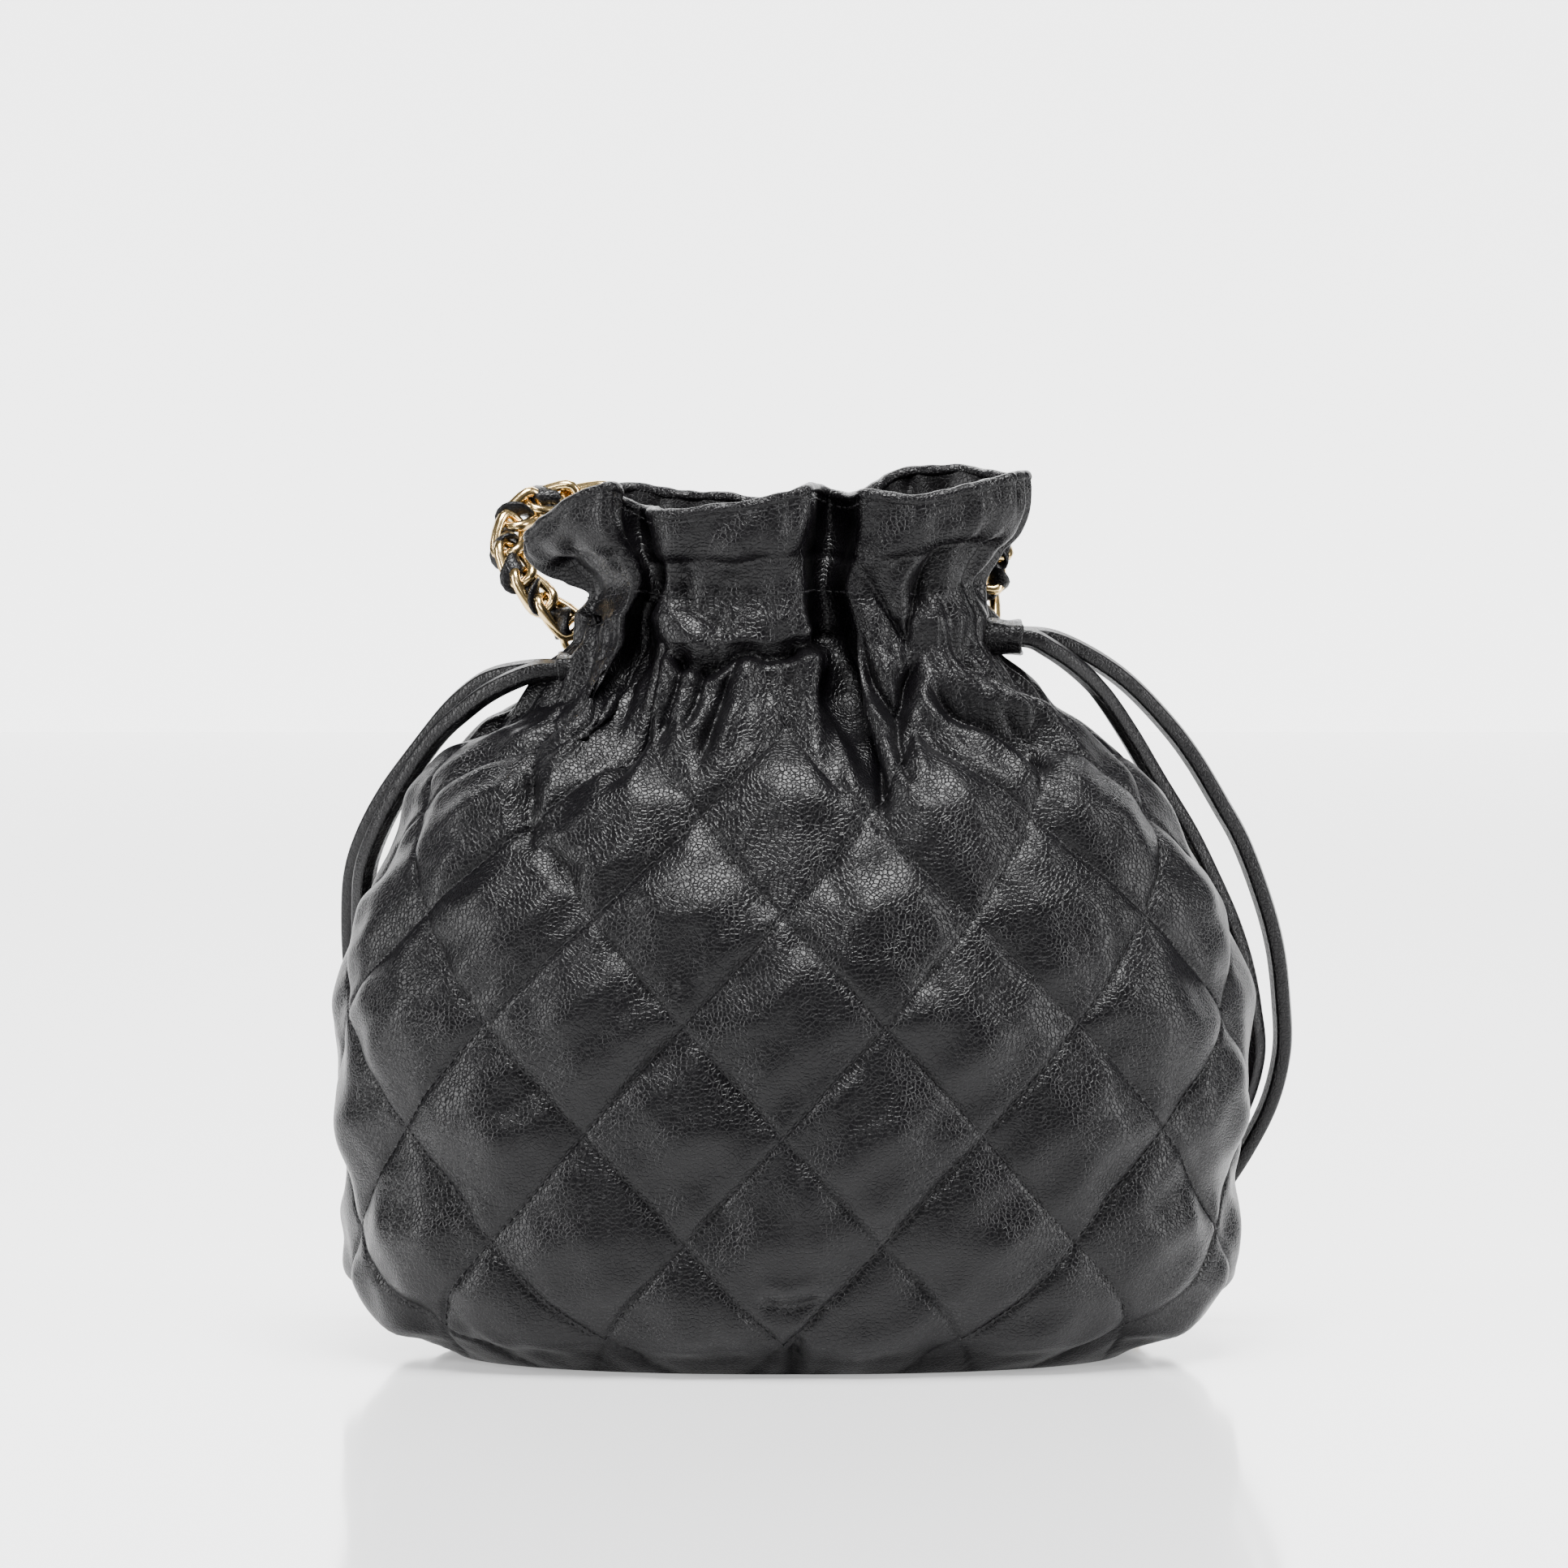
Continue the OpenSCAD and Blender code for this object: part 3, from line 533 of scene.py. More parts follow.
def grid_normals(p):
    du = np.roll(p, -1, axis=1) - np.roll(p, 1, axis=1)
    dv = np.gradient(p, axis=0)
    return unit_rows(np.cross(du, dv))


drop = np.linalg.norm(np.diff(skin, axis=0), axis=2)
t_cloth = np.concatenate([np.zeros((1, COLUMNS)), np.cumsum(drop, axis=0)])
belly_row = int(np.argmin(np.abs(body_rows - 76)))
t_cloth = t_cloth - t_cloth[belly_row] + 76
s_cloth = np.broadcast_to(s_round, t_cloth.shape)
z_plain = skin[:, :, 2]
normals = grid_normals(skin)
fade_top = np.clip((150 - z_plain) / 12, 0, 1)
fade_top = fade_top * fade_top * (3 - 2 * fade_top)
fade_base = np.clip(z_plain / 7, 0, 1) ** 0.7
out = (quilt(s_cloth, t_cloth) - 0.45 * PUFF) * fade_top * fade_base
gather = np.exp(-((z_plain - 150) / 10.5) ** 2)
ripple = np.abs(waves_round(s_cloth, z_plain * 0.16, 22, 8, 11)) ** 0.8
small_ripple = np.abs(waves_round(s_cloth, z_plain * 0.22, 11, 8, 12)) ** 0.8
out += gather * (2.4 * (ripple - 0.6) + 1.1 * (small_ripple - 0.6))
# the casing swells at each side, where the strings come out
bulge = (3.0 * np.exp(-((z_plain - 149) / 6) ** 2)
         * np.exp(-((np.abs(s_cloth) - half_girth / 2 - 3) / 12) ** 2))
out += bulge
out += 1.1 * waves_round(s_cloth, t_cloth, 60, 9, 21) * np.clip(z_plain / 25, 0, 1)
out += 0.42 * waves_round(s_cloth, t_cloth, 19, 9, 22) * fade_base
front = np.clip(-normals[:, :, 1] * 2.5, 0, 1)
out -= crease_depth(skin[:, :, 0], z_plain) * front
collar_part = np.clip((z_plain - 164) / 8, 0, 1)
out += collar_part * (0.7 * waves_round(s_cloth, z_plain, 28, 9, 41)
                      + 0.12 * waves_round(s_cloth, z_plain, 10, 9, 42))
fold_share = np.clip((np.arange(len(skin)) - first_collar) / 39.0, 0, 1)[:, None]
out -= 0.4 * np.exp(-((fold_share - 0.50) / 0.03) ** 2)
plain_skin = skin * MM
skin = skin + normals * out[:, :, None]
skin[:, :, 2] = np.maximum(skin[:, :, 2], 0.0)
skin = skin * MM
normals = grid_normals(skin)

# %% [markdown]
# One grid makes every panel: a panel is a run of columns and rows with a second layer inside it, closed round
# the edge. Neighbours share their seam columns, so no gap can open between them.

# %% Panels from the grid
def shell_piece(name, columns, rows, outer, inner, material, closed=False, grid=None):
    """A closed sheet between two depths under a grid, over some of its columns and rows."""
    grid = skin if grid is None else grid
    p, n = grid[np.ix_(rows, columns)], grid_normals(grid)[np.ix_(rows, columns)]
    layers = np.concatenate([(p - n * outer).reshape(-1, 3), (p - n * inner).reshape(-1, 3)])
    r, c = len(rows), len(columns)
    half = r * c
    index = np.arange(half).reshape(r, c)
    if closed:
        index = np.concatenate([index, index[:, :1]], axis=1)
    a, b, d, e = index[:-1, :-1], index[:-1, 1:], index[1:, 1:], index[1:, :-1]
    face = np.stack([a, b, d, e], axis=-1).reshape(-1, 4)
    faces = [face, face[:, ::-1] + half]
    for row, flip in ((index[0], True), (index[-1], False)):
        q = np.stack([row[:-1], row[1:], row[1:] + half, row[:-1] + half], axis=-1)
        faces.append(q[:, ::-1] if flip else q)
    if not closed:
        for col, flip in ((index[:, 0], False), (index[:, -1], True)):
            q = np.stack([col[:-1], col[1:], col[1:] + half, col[:-1] + half], axis=-1)
            faces.append(q[:, ::-1] if flip else q)
    allf = np.concatenate(faces)
    soft = np.arange(len(allf)) < 2 * len(face)
    mesh = bpy.data.meshes.new(name)
    mesh.vertices.add(len(layers))
    mesh.vertices.foreach_set("co", layers.astype(np.float32).ravel())
    mesh.loops.add(allf.size)
    mesh.loops.foreach_set("vertex_index", allf.astype(np.int32).ravel())
    mesh.polygons.add(len(allf))
    mesh.polygons.foreach_set("loop_start", np.arange(0, allf.size, 4, dtype=np.int32))
    mesh.polygons.foreach_set("use_smooth", soft)
    mesh.materials.append(material)
    mesh.update(calc_edges=True)
    facing_out = np.concatenate([n.reshape(-1, 3), -n.reshape(-1, 3)])
    mesh.normals_split_custom_set_from_vertices([tuple(v) for v in facing_out])
    piece = bpy.data.objects.new(name, mesh)
    bpy.context.scene.collection.objects.link(piece)
    print(name, len(allf) * 2, "triangles")
    return piece


SEAM_X = 93 * MM
belly = skin[belly_row]
all_columns = np.arange(COLUMNS)
order = np.argsort(s_round)
ranked = all_columns[order]
bx, by = belly[ranked, 0], belly[ranked, 1]
front_run = np.where((np.abs(bx) <= SEAM_X) & (by < 0))[0]
left_run = np.arange(int(np.where(bx < -SEAM_X)[0].min()), front_run[0] + 1)
right_run = np.arange(front_run[-1], int(np.where(bx > SEAM_X)[0].max()) + 1)
back_run = np.concatenate([np.arange(right_run[-1], COLUMNS), np.arange(0, left_run[0] + 1)])
SKIN_T, WADDING_T, LINING_T = 1.2 * MM, 2.4 * MM, 0.8 * MM
body_index = np.arange(rows_body)
panels = {}
for label, run in (("front_panel", front_run), ("left_side_panel", left_run),
                   ("right_side_panel", right_run), ("back_panel", back_run)):
    panels[label] = shell_piece("leather_" + label, ranked[run], body_index, 0.0, SKIN_T, black_leather)

# %% Casing and collar
casing_index = np.arange(rows_body - 1, first_collar + 1)
collar_index = np.arange(first_collar, len(skin))
casing = shell_piece("leather_casing", all_columns, casing_index, 0.0, SKIN_T, plain_leather, True)
collar = shell_piece("leather_collar", all_columns, collar_index, 0.0, SKIN_T, plain_leather, True)
facing = shell_piece("leather_collar_facing", all_columns, collar_index, SKIN_T, SKIN_T + 1.0 * MM,
                     facing_leather, True)

# %% [markdown]
# The collar's edge is turned over its facing and sewn, so it ends in a soft roll and not in a cut. A closed
# sweep along the rim makes that roll; it is a little thicker than the two leathers together.

# %% Rolled rim
rim_line = np.append(skin[-1] - normals[-1] * 1.1 * MM, (skin[-1] - normals[-1] * 1.1 * MM)[:1], axis=0)
rim_line = resample(rim_line, 0.9 * MM)[:-1]
rim_heading = unit_rows(np.roll(rim_line, -1, axis=0) - np.roll(rim_line, 1, axis=0))
rim_side = unit_rows(np.cross(rim_heading, (0, 0, 1)))
rim_up = np.cross(rim_side, rim_heading)
around = np.linspace(0, math.tau, 10, endpoint=False)
swell = 1.45 * MM * (1 + 0.08 * waves(np.arange(len(rim_line)) * 0.9, np.zeros(len(rim_line)), 6, 7, 51))
roll = (rim_line[:, None] + swell[:, None, None] * (np.cos(around)[None, :, None] * rim_side[:, None]
                                                    + np.sin(around)[None, :, None] * rim_up[:, None]))
count, sides = roll.shape[:2]
roll_faces = [(i * sides + k, ((i + 1) % count) * sides + k, ((i + 1) % count) * sides + (k + 1) % sides,
               i * sides + (k + 1) % sides) for i in range(count) for k in range(sides)]
rim_roll = new_mesh("leather_rim_roll", roll.reshape(-1, 3), roll_faces, plain_leather)
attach(rim_roll, "bag")

# %% [markdown]
# Nobody sees the wadding and the lining from outside, but they are real layers. They are the same map again,
# a little further in, with fewer points because nothing fine shows.

# %% Inner layers
def cloth_material(name, tint, pitch):
    m = Material(name)
    where = m.place()
    weave_x = m.node("ShaderNodeTexWave", {"bands_direction": "X"}, {"Vector": where, "Scale": pitch})
    weave_z = m.node("ShaderNodeTexWave", {"bands_direction": "Z"}, {"Vector": where, "Scale": pitch})
    fuzz = m.noise(where, 900.0, 3.0, 0.6)
    m.set(Normal=m.bump(weave_x * 0.5 + weave_z * 0.5 + fuzz * 0.3, 0.00012))
    m.set(Base_Color=m.ramp(fuzz, [(0.3, tuple(0.7 * c for c in tint)), (0.7, tuple(1.3 * c for c in tint))]))
    m.set(Roughness=0.7 + fuzz * 0.2)
    return m.material


lining_cloth = cloth_material("lining_twill", (0.016, 0.014, 0.016), 300.0)
wadding_cloth = cloth_material("wadding_felt", (0.55, 0.54, 0.50), 120.0)
board_cloth = cloth_material("base_board_card", (0.24, 0.20, 0.15), 60.0)
zip_cloth = cloth_material("zip_tape_weave", (0.020, 0.018, 0.020), 420.0)

inner_columns = all_columns[::3]
inner_rows = np.append(np.arange(0, rows_body - 1, 4), rows_body - 1)
padded_rows = inner_rows[skin[inner_rows, 0, 2] < 0.124]
wadding = shell_piece("wadding_layer", inner_columns, padded_rows, 6.0 * MM, 6.0 * MM + WADDING_T,
                      wadding_cloth, True, plain_skin)
lining = shell_piece("lining_layer", inner_columns, padded_rows, 8.6 * MM, 8.6 * MM + LINING_T,
                     lining_cloth, True, plain_skin)


def base_sheet(name, low, high, inset, material):
    """A flat floor piece inside the outline of the base row."""
    ring = skin[0] * 1.0
    scale = 1 - inset * MM / 0.05
    count = len(ring)
    steps = 14
    points, faces = [], []
    for z in (low, high):
        for k in range(steps + 1):
            f = scale * (1 - k / (steps + 0.5))
            points += [(p[0] * f, p[1] * f, z * MM) for p in ring]
    layer = (steps + 1) * count
    for base, flip in ((0, True), (layer, False)):
        for k in range(steps):
            for j in range(count):
                a, b = base + k * count + j, base + k * count + (j + 1) % count
                c, d = b + count, a + count
                faces.append((a, d, c, b) if flip else (a, b, c, d))
        inner = [base + steps * count + j for j in range(count)]
        faces.append(tuple(inner[::-1]) if flip else tuple(inner))
    for j in range(count):
        a, b = j, (j + 1) % count
        faces.append((a, b, b + layer, a + layer))
    return new_mesh(name, points, faces, material, smooth=False)


base_leather = base_sheet("leather_base", 0.0, 1.2, 0.0, black_leather)
base_board = base_sheet("card_base_board", 3.6, 5.6, 4.5, board_cloth)

for label, piece in panels.items():
    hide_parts(label)
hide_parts("casing_outer", "casing_inner", "left_string_run", "right_string_run")
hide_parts("collar")
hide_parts("collar_facing")
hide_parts("quilt_wadding")
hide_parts("lining")
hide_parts("base_panel")
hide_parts("base_board")
for piece in (*panels.values(), casing, collar, facing, wadding, lining, base_leather, base_board):
    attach(piece, "bag")

# %% [markdown]
# Stitches repeat thousands of times, so Geometry Nodes places one small thread along lines drawn on the skin.
# The lines carry the skin's own direction as `up`, which turns each thread flat against the surface.

# %% Stitches by Geometry Nodes
thread = Material("black_thread")
twist = thread.noise(thread.place(), 3200.0, 2.0, 0.6)
thread.set(Base_Color=thread.ramp(twist, [(0.3, (0.002, 0.002, 0.0024)), (0.7, (0.007, 0.0065, 0.0075))]))
thread.set(Roughness=0.5 + twist * 0.2)
thread.shader.inputs["Specular IOR Level"].default_value = 0.25
thread.set(Normal=thread.bump(twist, 0.00006))


def thread_item(name, length, thick):
    """One stitch: a short capsule whose ends dip into the leather."""
    profile = [(-0.5, 0.12, -0.5), (-0.42, 0.8, -0.15), (0, 1.0, 0.12), (0.42, 0.8, -0.15), (0.5, 0.12, -0.5)]
    points, faces, n = [], [], 6
    for along, r, lift in profile:
        points += [(along * length, r * thick / 2 * math.cos(k * math.tau / n),
                    lift * thick + r * thick / 2 * math.sin(k * math.tau / n)) for k in range(n)]
    for i in range(len(profile) - 1):
        for k in range(n):
            faces.append((i * n + k, i * n + (k + 1) % n, (i + 1) * n + (k + 1) % n, (i + 1) * n + k))
    faces += [tuple(range(n))[::-1], tuple((len(profile) - 1) * n + k for k in range(n))]
    item = new_mesh(name, points, faces, thread.material)
    item.hide_render = True
    return item


def along_tree():
    """Geometry Nodes that set one object at even steps along lines, turned to heading and up."""
    tree = bpy.data.node_groups.new("set_along_lines", "GeometryNodeTree")
    face = tree.interface
    face.new_socket("Geometry", in_out="INPUT", socket_type="NodeSocketGeometry")
    face.new_socket("Item", in_out="INPUT", socket_type="NodeSocketObject")
    face.new_socket("Step", in_out="INPUT", socket_type="NodeSocketFloat")
    face.new_socket("Uneven", in_out="INPUT", socket_type="NodeSocketFloat")
    face.new_socket("Material", in_out="INPUT", socket_type="NodeSocketMaterial")
    face.new_socket("Geometry", in_out="OUTPUT", socket_type="NodeSocketGeometry")
    add, link = tree.nodes.new, tree.links.new
    given, result = add("NodeGroupInput"), add("NodeGroupOutput")
    curve, even = add("GeometryNodeMeshToCurve"), add("GeometryNodeResampleCurve")
    even.mode = "LENGTH"
    tangent, up = add("GeometryNodeInputTangent"), add("GeometryNodeInputNamedAttribute")
    up.data_type = "FLOAT_VECTOR"
    up.inputs["Name"].default_value = "up"
    along, stand = add("FunctionNodeAlignRotationToVector"), add("FunctionNodeAlignRotationToVector")
    along.axis, stand.axis, stand.pivot_axis = "X", "Z", "X"
    item, place = add("GeometryNodeObjectInfo"), add("GeometryNodeInstanceOnPoints")
    wobble = add("FunctionNodeRandomValue")
    wobble.data_type = "FLOAT"
    wobble.inputs["Seed"].default_value = 4
    turn, spin = add("FunctionNodeRotateRotation"), add("FunctionNodeAxisAngleToRotation")
    turn.rotation_space = "LOCAL"
    real, dress = add("GeometryNodeRealizeInstances"), add("GeometryNodeSetMaterial")
    low = add("ShaderNodeMath")
    low.operation = "MULTIPLY"
    low.inputs[1].default_value = -1.0
    link(given.outputs["Geometry"], curve.inputs["Mesh"])
    choose, wanted = add("GeometryNodeSwitch"), add("FunctionNodeCompare")
    choose.input_type = "GEOMETRY"
    link(given.outputs["Step"], wanted.inputs[0])
    link(wanted.outputs[0], choose.inputs["Switch"])
    link(curve.outputs["Curve"], choose.inputs["False"])
    link(even.outputs["Curve"], choose.inputs["True"])
    link(curve.outputs["Curve"], even.inputs["Curve"])
    link(given.outputs["Step"], even.inputs["Length"])
    link(tangent.outputs["Tangent"], along.inputs["Vector"])
    link(along.outputs["Rotation"], stand.inputs["Rotation"])
    link(up.outputs["Attribute"], stand.inputs["Vector"])
    link(given.outputs["Uneven"], low.inputs[0])
    link(low.outputs[0], wobble.inputs[2])
    link(given.outputs["Uneven"], wobble.inputs[3])
    link(wobble.outputs[1], spin.inputs["Angle"])
    link(stand.outputs["Rotation"], turn.inputs["Rotation"])
    link(spin.outputs["Rotation"], turn.inputs["Rotate By"])
    link(given.outputs["Item"], item.inputs["Object"])
    link(choose.outputs["Output"], place.inputs["Points"])
    link(item.outputs["Geometry"], place.inputs["Instance"])
    link(turn.outputs["Rotation"], place.inputs["Rotation"])
    link(place.outputs["Instances"], real.inputs["Geometry"])
    link(real.outputs["Geometry"], dress.inputs["Geometry"])
    link(given.outputs["Material"], dress.inputs["Material"])
    link(dress.outputs["Geometry"], result.inputs["Geometry"])
    return tree


set_along = along_tree()


def run_along(name, lines, item, step, material, body, uneven=0.08):
    """A mesh of one item repeated along lines, each a pair of point and up arrays."""
    points = np.concatenate([p for p, _ in lines])
    ups = np.concatenate([u for _, u in lines])
    edges, at = [], 0
    for p, _ in lines:
        edges += [(at + i, at + i + 1) for i in range(len(p) - 1)]
        at += len(p)
    mesh = bpy.data.meshes.new(name + "_lines")
    mesh.from_pydata([tuple(p) for p in points], edges, [])
    up_attribute = mesh.attributes.new("up", "FLOAT_VECTOR", "POINT")
    up_attribute.data.foreach_set("vector", ups.astype(np.float32).ravel())
    guide = bpy.data.objects.new(name + "_lines", mesh)
    bpy.context.scene.collection.objects.link(guide)
    modifier = guide.modifiers.new("along", "NODES")
    modifier.node_group = set_along
    named = {x.name: x.identifier for x in set_along.interface.items_tree if x.in_out == "INPUT"}
    modifier[named["Item"]] = item
    modifier[named["Step"]] = step
    modifier[named["Uneven"]] = uneven
    modifier[named["Material"]] = material
    bpy.context.view_layer.update()
    result = bpy.data.meshes.new_from_object(guide.evaluated_get(bpy.context.evaluated_depsgraph_get()))
    bpy.data.objects.remove(guide)
    piece = bpy.data.objects.new(name, result)
    bpy.context.scene.collection.objects.link(piece)
    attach(piece, body)
    print(name, len(result.polygons), "faces")
    return piece


def on_skin(columns, rows):
    """Points and normals of the skin at fractional columns and rows."""
    c0 = np.floor(columns).astype(int)
    r0 = np.clip(np.floor(rows).astype(int), 0, len(skin) - 2)
    fc, fr = (columns - c0)[:, None], (rows - r0)[:, None]
    c0, c1 = c0 % COLUMNS, (c0 + 1) % COLUMNS
    found = []
    for grid in (skin, normals):
        low = grid[r0, c0] * (1 - fc) + grid[r0, c1] * fc
        high = grid[r0 + 1, c0] * (1 - fc) + grid[r0 + 1, c1] * fc
        found.append(low * (1 - fr) + high * fr)
    return found[0], unit_rows(found[1])


fine_s = np.linspace(-half_girth, half_girth, 4001)
fine_lattice = lattice_s(fine_s)
column_zero = float(s_round[0])


def skin_line(lattice, t):
    """A line on the skin through cloth places (lattice s, t)."""
    wrapped = (lattice + DIAMONDS * QUILT_W / 2) % (DIAMONDS * QUILT_W) - DIAMONDS * QUILT_W / 2
    s = np.interp(wrapped, fine_lattice, fine_s)
    columns = ((s - column_zero) % girth) / girth * COLUMNS
    near = np.round(columns).astype(int) % COLUMNS
    rows = np.array([np.interp(b, t_cloth[:rows_body, a], np.arange(rows_body)) for a, b in zip(near, t)])
    return on_skin(columns, rows)


STITCH = 2.3 * MM
stitch = thread_item("one_stitch", 1.75 * MM, 0.50 * MM)
quilt_lines = []
low_t, high_t = 6.0, 150.0
for n in range(DIAMONDS):
    t = np.linspace(low_t, high_t, 170)
    for slope in (-1, 1):
        lattice = QUILT_S + QUILT_W * (n + slope * (t - QUILT_Z) / QUILT_H)
        quilt_lines.append(skin_line(lattice, t))
run_along("quilting_stitches", quilt_lines, stitch, STITCH, thread.material, "bag")

rim_lines = []
columns = np.arange(COLUMNS + 1) * 1.0
for back_from_rim in (0.075, 0.80):
    rows = np.full(COLUMNS + 1, (len(skin) - 1) - back_from_rim * (len(skin) - 1 - first_collar))
    rim_lines.append(on_skin(columns, rows))
run_along("collar_stitches", rim_lines, stitch, STITCH, thread.material, "bag")

# %% [markdown]
# Each strand is swept along its route, and its length is printed. The route is smoothed first, then cut into even
# steps, so the mesh has no sudden turn.

# %% Drawstring strands
def strand_piece(name, route, body, roll):
    path = resample(catmull(np.array(route) * MM, 14), 1.2 * MM)
    points, faces = swept(path, strip_outline(STRIP_WIDTH, STRIP_THICK), (0, 0, 1), roll)
    piece = new_mesh(name.replace("strand", "strip"), points, faces, string_leather)
    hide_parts(name)
    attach(piece, body)
    length = float(np.linalg.norm(np.diff(path, axis=0), axis=1).sum())
    print(name, "length", round(length * 1000, 1), "mm")
    return piece, path, length


strands = {}
for name, route in string_routes.items():
    body = "left_pull" if name.startswith("left") else "right_pull"
    roll = {"left_strand_outer": 0.5, "left_strand_inner": -0.3,
            "right_strand_outer": -0.5, "right_strand_inner": 0.4}[name]
    strands[name] = (*strand_piece(name, route, body, roll), body)

# %% [markdown]
# The keeper is a wrapped leather barrel that holds both strand ends. Its strip goes round nearly twice and
# ends in a sewn lap, so the section is a spiral rather than a circle.

# %% Keepers and sleeves
def keeper_piece(name, node, body, x0, x1):
    low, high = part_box(node)
    middle = (np.array(low) + np.array(high)) / 2
    ry, rz = (high[1] - low[1]) / 2, (high[2] - low[2]) / 2
    a = np.linspace(0, math.tau, 48, endpoint=False)
    lap = 0.35 * MM * np.clip((a - 4.0) / 0.15, 0, 1) * np.clip((6.0 - a) / 0.3, 0, 1)
    points, faces = [], []
    profile = [(0.0, -0.35), (0.02, 0.75), (0.0, 0.90), (0.03, 0.985), (0.1, 1.0), (0.3, 0.985), (0.5, 0.99),
               (0.7, 0.985), (0.9, 1.0), (0.97, 0.985), (1.0, 0.90), (0.98, 0.75), (1.0, -0.35)]
    for along, r in profile:
        r = abs(r)
        x = x0 + (x1 - x0) * along
        points += [(x, middle[1] + (ry * r + lap[j]) * math.cos(v),
                    middle[2] + (rz * r + lap[j]) * math.sin(v)) for j, v in enumerate(a)]
    n = len(a)
    for i in range(len(profile) - 1):
        for j in range(n):
            faces.append((i * n + (j + 1) % n, (i + 1) * n + (j + 1) % n, (i + 1) * n + j, i * n + j))
    faces.append(tuple(range(n))[::-1])
    faces.append(tuple((len(profile) - 1) * n + j for j in range(n)))
    piece = new_mesh(name, points, faces, plain_leather)
    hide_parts(node)
    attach(piece, body)
    return piece


def sleeve_piece(name, node, side, z):
    """A short soft tube of leather where the strands leave the casing."""
    profile = [(41.0, 6.2, 4.9), (43.5, 6.3, 4.5), (46.5, 6.25, 3.9), (49.0, 6.3, 3.75), (50.8, 6.45, 3.95),
               (51.4, 6.3, 3.8), (51.5, 5.9, 3.4), (51.2, 5.6, 3.05), (49.0, 5.55, 2.95), (43.5, 5.5, 2.9)]
    a = np.linspace(0, math.tau, 56, endpoint=False)
    points, faces, n = [], [], len(a)
    for x, ry, rz in profile:
        c, d = np.cos(a), np.sin(a)
        crumple = 0.22 * waves(a * 6, x + 0 * a, 7, 6, 31)
        points += [(side * (x + 0.25 * math.sin(3 * v)) * MM, (ry + w) * MM * np.sign(e) * abs(e) ** 0.85,
                    (z + (rz + w) * np.sign(f) * abs(f) ** 0.85) * MM)
                   for v, w, e, f in zip(a, crumple, c, d)]
    for i in range(len(profile) - 1):
        for j in range(n):
            q = (i * n + j, i * n + (j + 1) % n, (i + 1) * n + (j + 1) % n, (i + 1) * n + j)
            faces.append(q if side > 0 else q[::-1])
    last = (len(profile) - 1) * n
    for j in range(n):
        q = (last + j, last + (j + 1) % n, (j + 1) % n, j)
        faces.append(q if side > 0 else q[::-1])
    piece = new_mesh(name, points, faces, plain_leather)
    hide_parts(node)
    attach(piece, "bag")
    return piece


sleeve_piece("leather_left_sleeve", "left_sleeve", -1, 151.8)
sleeve_piece("leather_right_sleeve", "right_sleeve", 1, 159.0)
left_keeper = keeper_piece("leather_left_keeper", "left_keeper", "left_pull", -68 * MM, -55 * MM)
right_keeper = keeper_piece("leather_right_keeper", "right_keeper", "right_pull", 58 * MM, 71 * MM)
for name, (piece, path, length, body) in strands.items():
    keeper = left_keeper if body == "left_pull" else right_keeper
    [tuple(p) for p in path[::4]] + [tuple(path[-1])]

# %% [markdown]
# Inside the back hangs a zip pocket. Its pouch is two layers of lining cloth with a little air between them,
# and the zip's tape is a ribbed band. A flat box would look like card, so both are crowned: thin and rounded
# at the edge, fuller in the middle, with a slow ripple. Each takes its size from the CAD piece it stands for.

# %% Pocket pouch and zip tape
def crowned_cloth(name, node, material, edge_share, ripple):
    """A closed flat piece that stands along X and Z and is thinnest at its edge."""
    low, high = (np.array(corner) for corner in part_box(node))
    middle, half = (low + high) / 2, (high - low) / 2
    across, tall = 72, 40
    # u and v run from edge to edge; the corners are drawn in a little, so they are round
    u, v = np.meshgrid(np.linspace(-1, 1, across), np.linspace(-1, 1, tall), indexing="ij")
    round_u = u * (1 - 0.035 * np.abs(v) ** 10)
    round_v = v * (1 - 0.045 * np.abs(u) ** 10)
    crown = edge_share + (1 - edge_share) * (1 - u ** 6) * (1 - v ** 6)
    sway = ripple * np.sin(5.3 * u + 1.2 * v) * (1 - v ** 2)
    points = []
    for face in (-1, 1):
        y = middle[1] + half[1] * (face * crown * (1 - ripple) + sway)
        layer = np.stack([middle[0] + half[0] * round_u, y, middle[2] + half[2] * round_v], axis=2)
        points.append(layer.reshape(-1, 3))
    back, faces = across * tall, []
    for i in range(across - 1):
        for k in range(tall - 1):
            a, b, c, d = i * tall + k, (i + 1) * tall + k, (i + 1) * tall + k + 1, i * tall + k + 1
            faces += [(a, b, c, d), (back + d, back + c, back + b, back + a)]
    rim = ([i * tall for i in range(across)] + [(across - 1) * tall + k for k in range(1, tall)]
           + [i * tall + tall - 1 for i in range(across - 2, -1, -1)] + [k for k in range(tall - 2, 0, -1)])
    for one, two in zip(rim, rim[1:] + rim[:1]):
        faces.append((two, one, back + one, back + two))
    piece = new_mesh(name, np.concatenate(points), faces, material)
    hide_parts(node)
    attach(piece, "bag")
    return piece


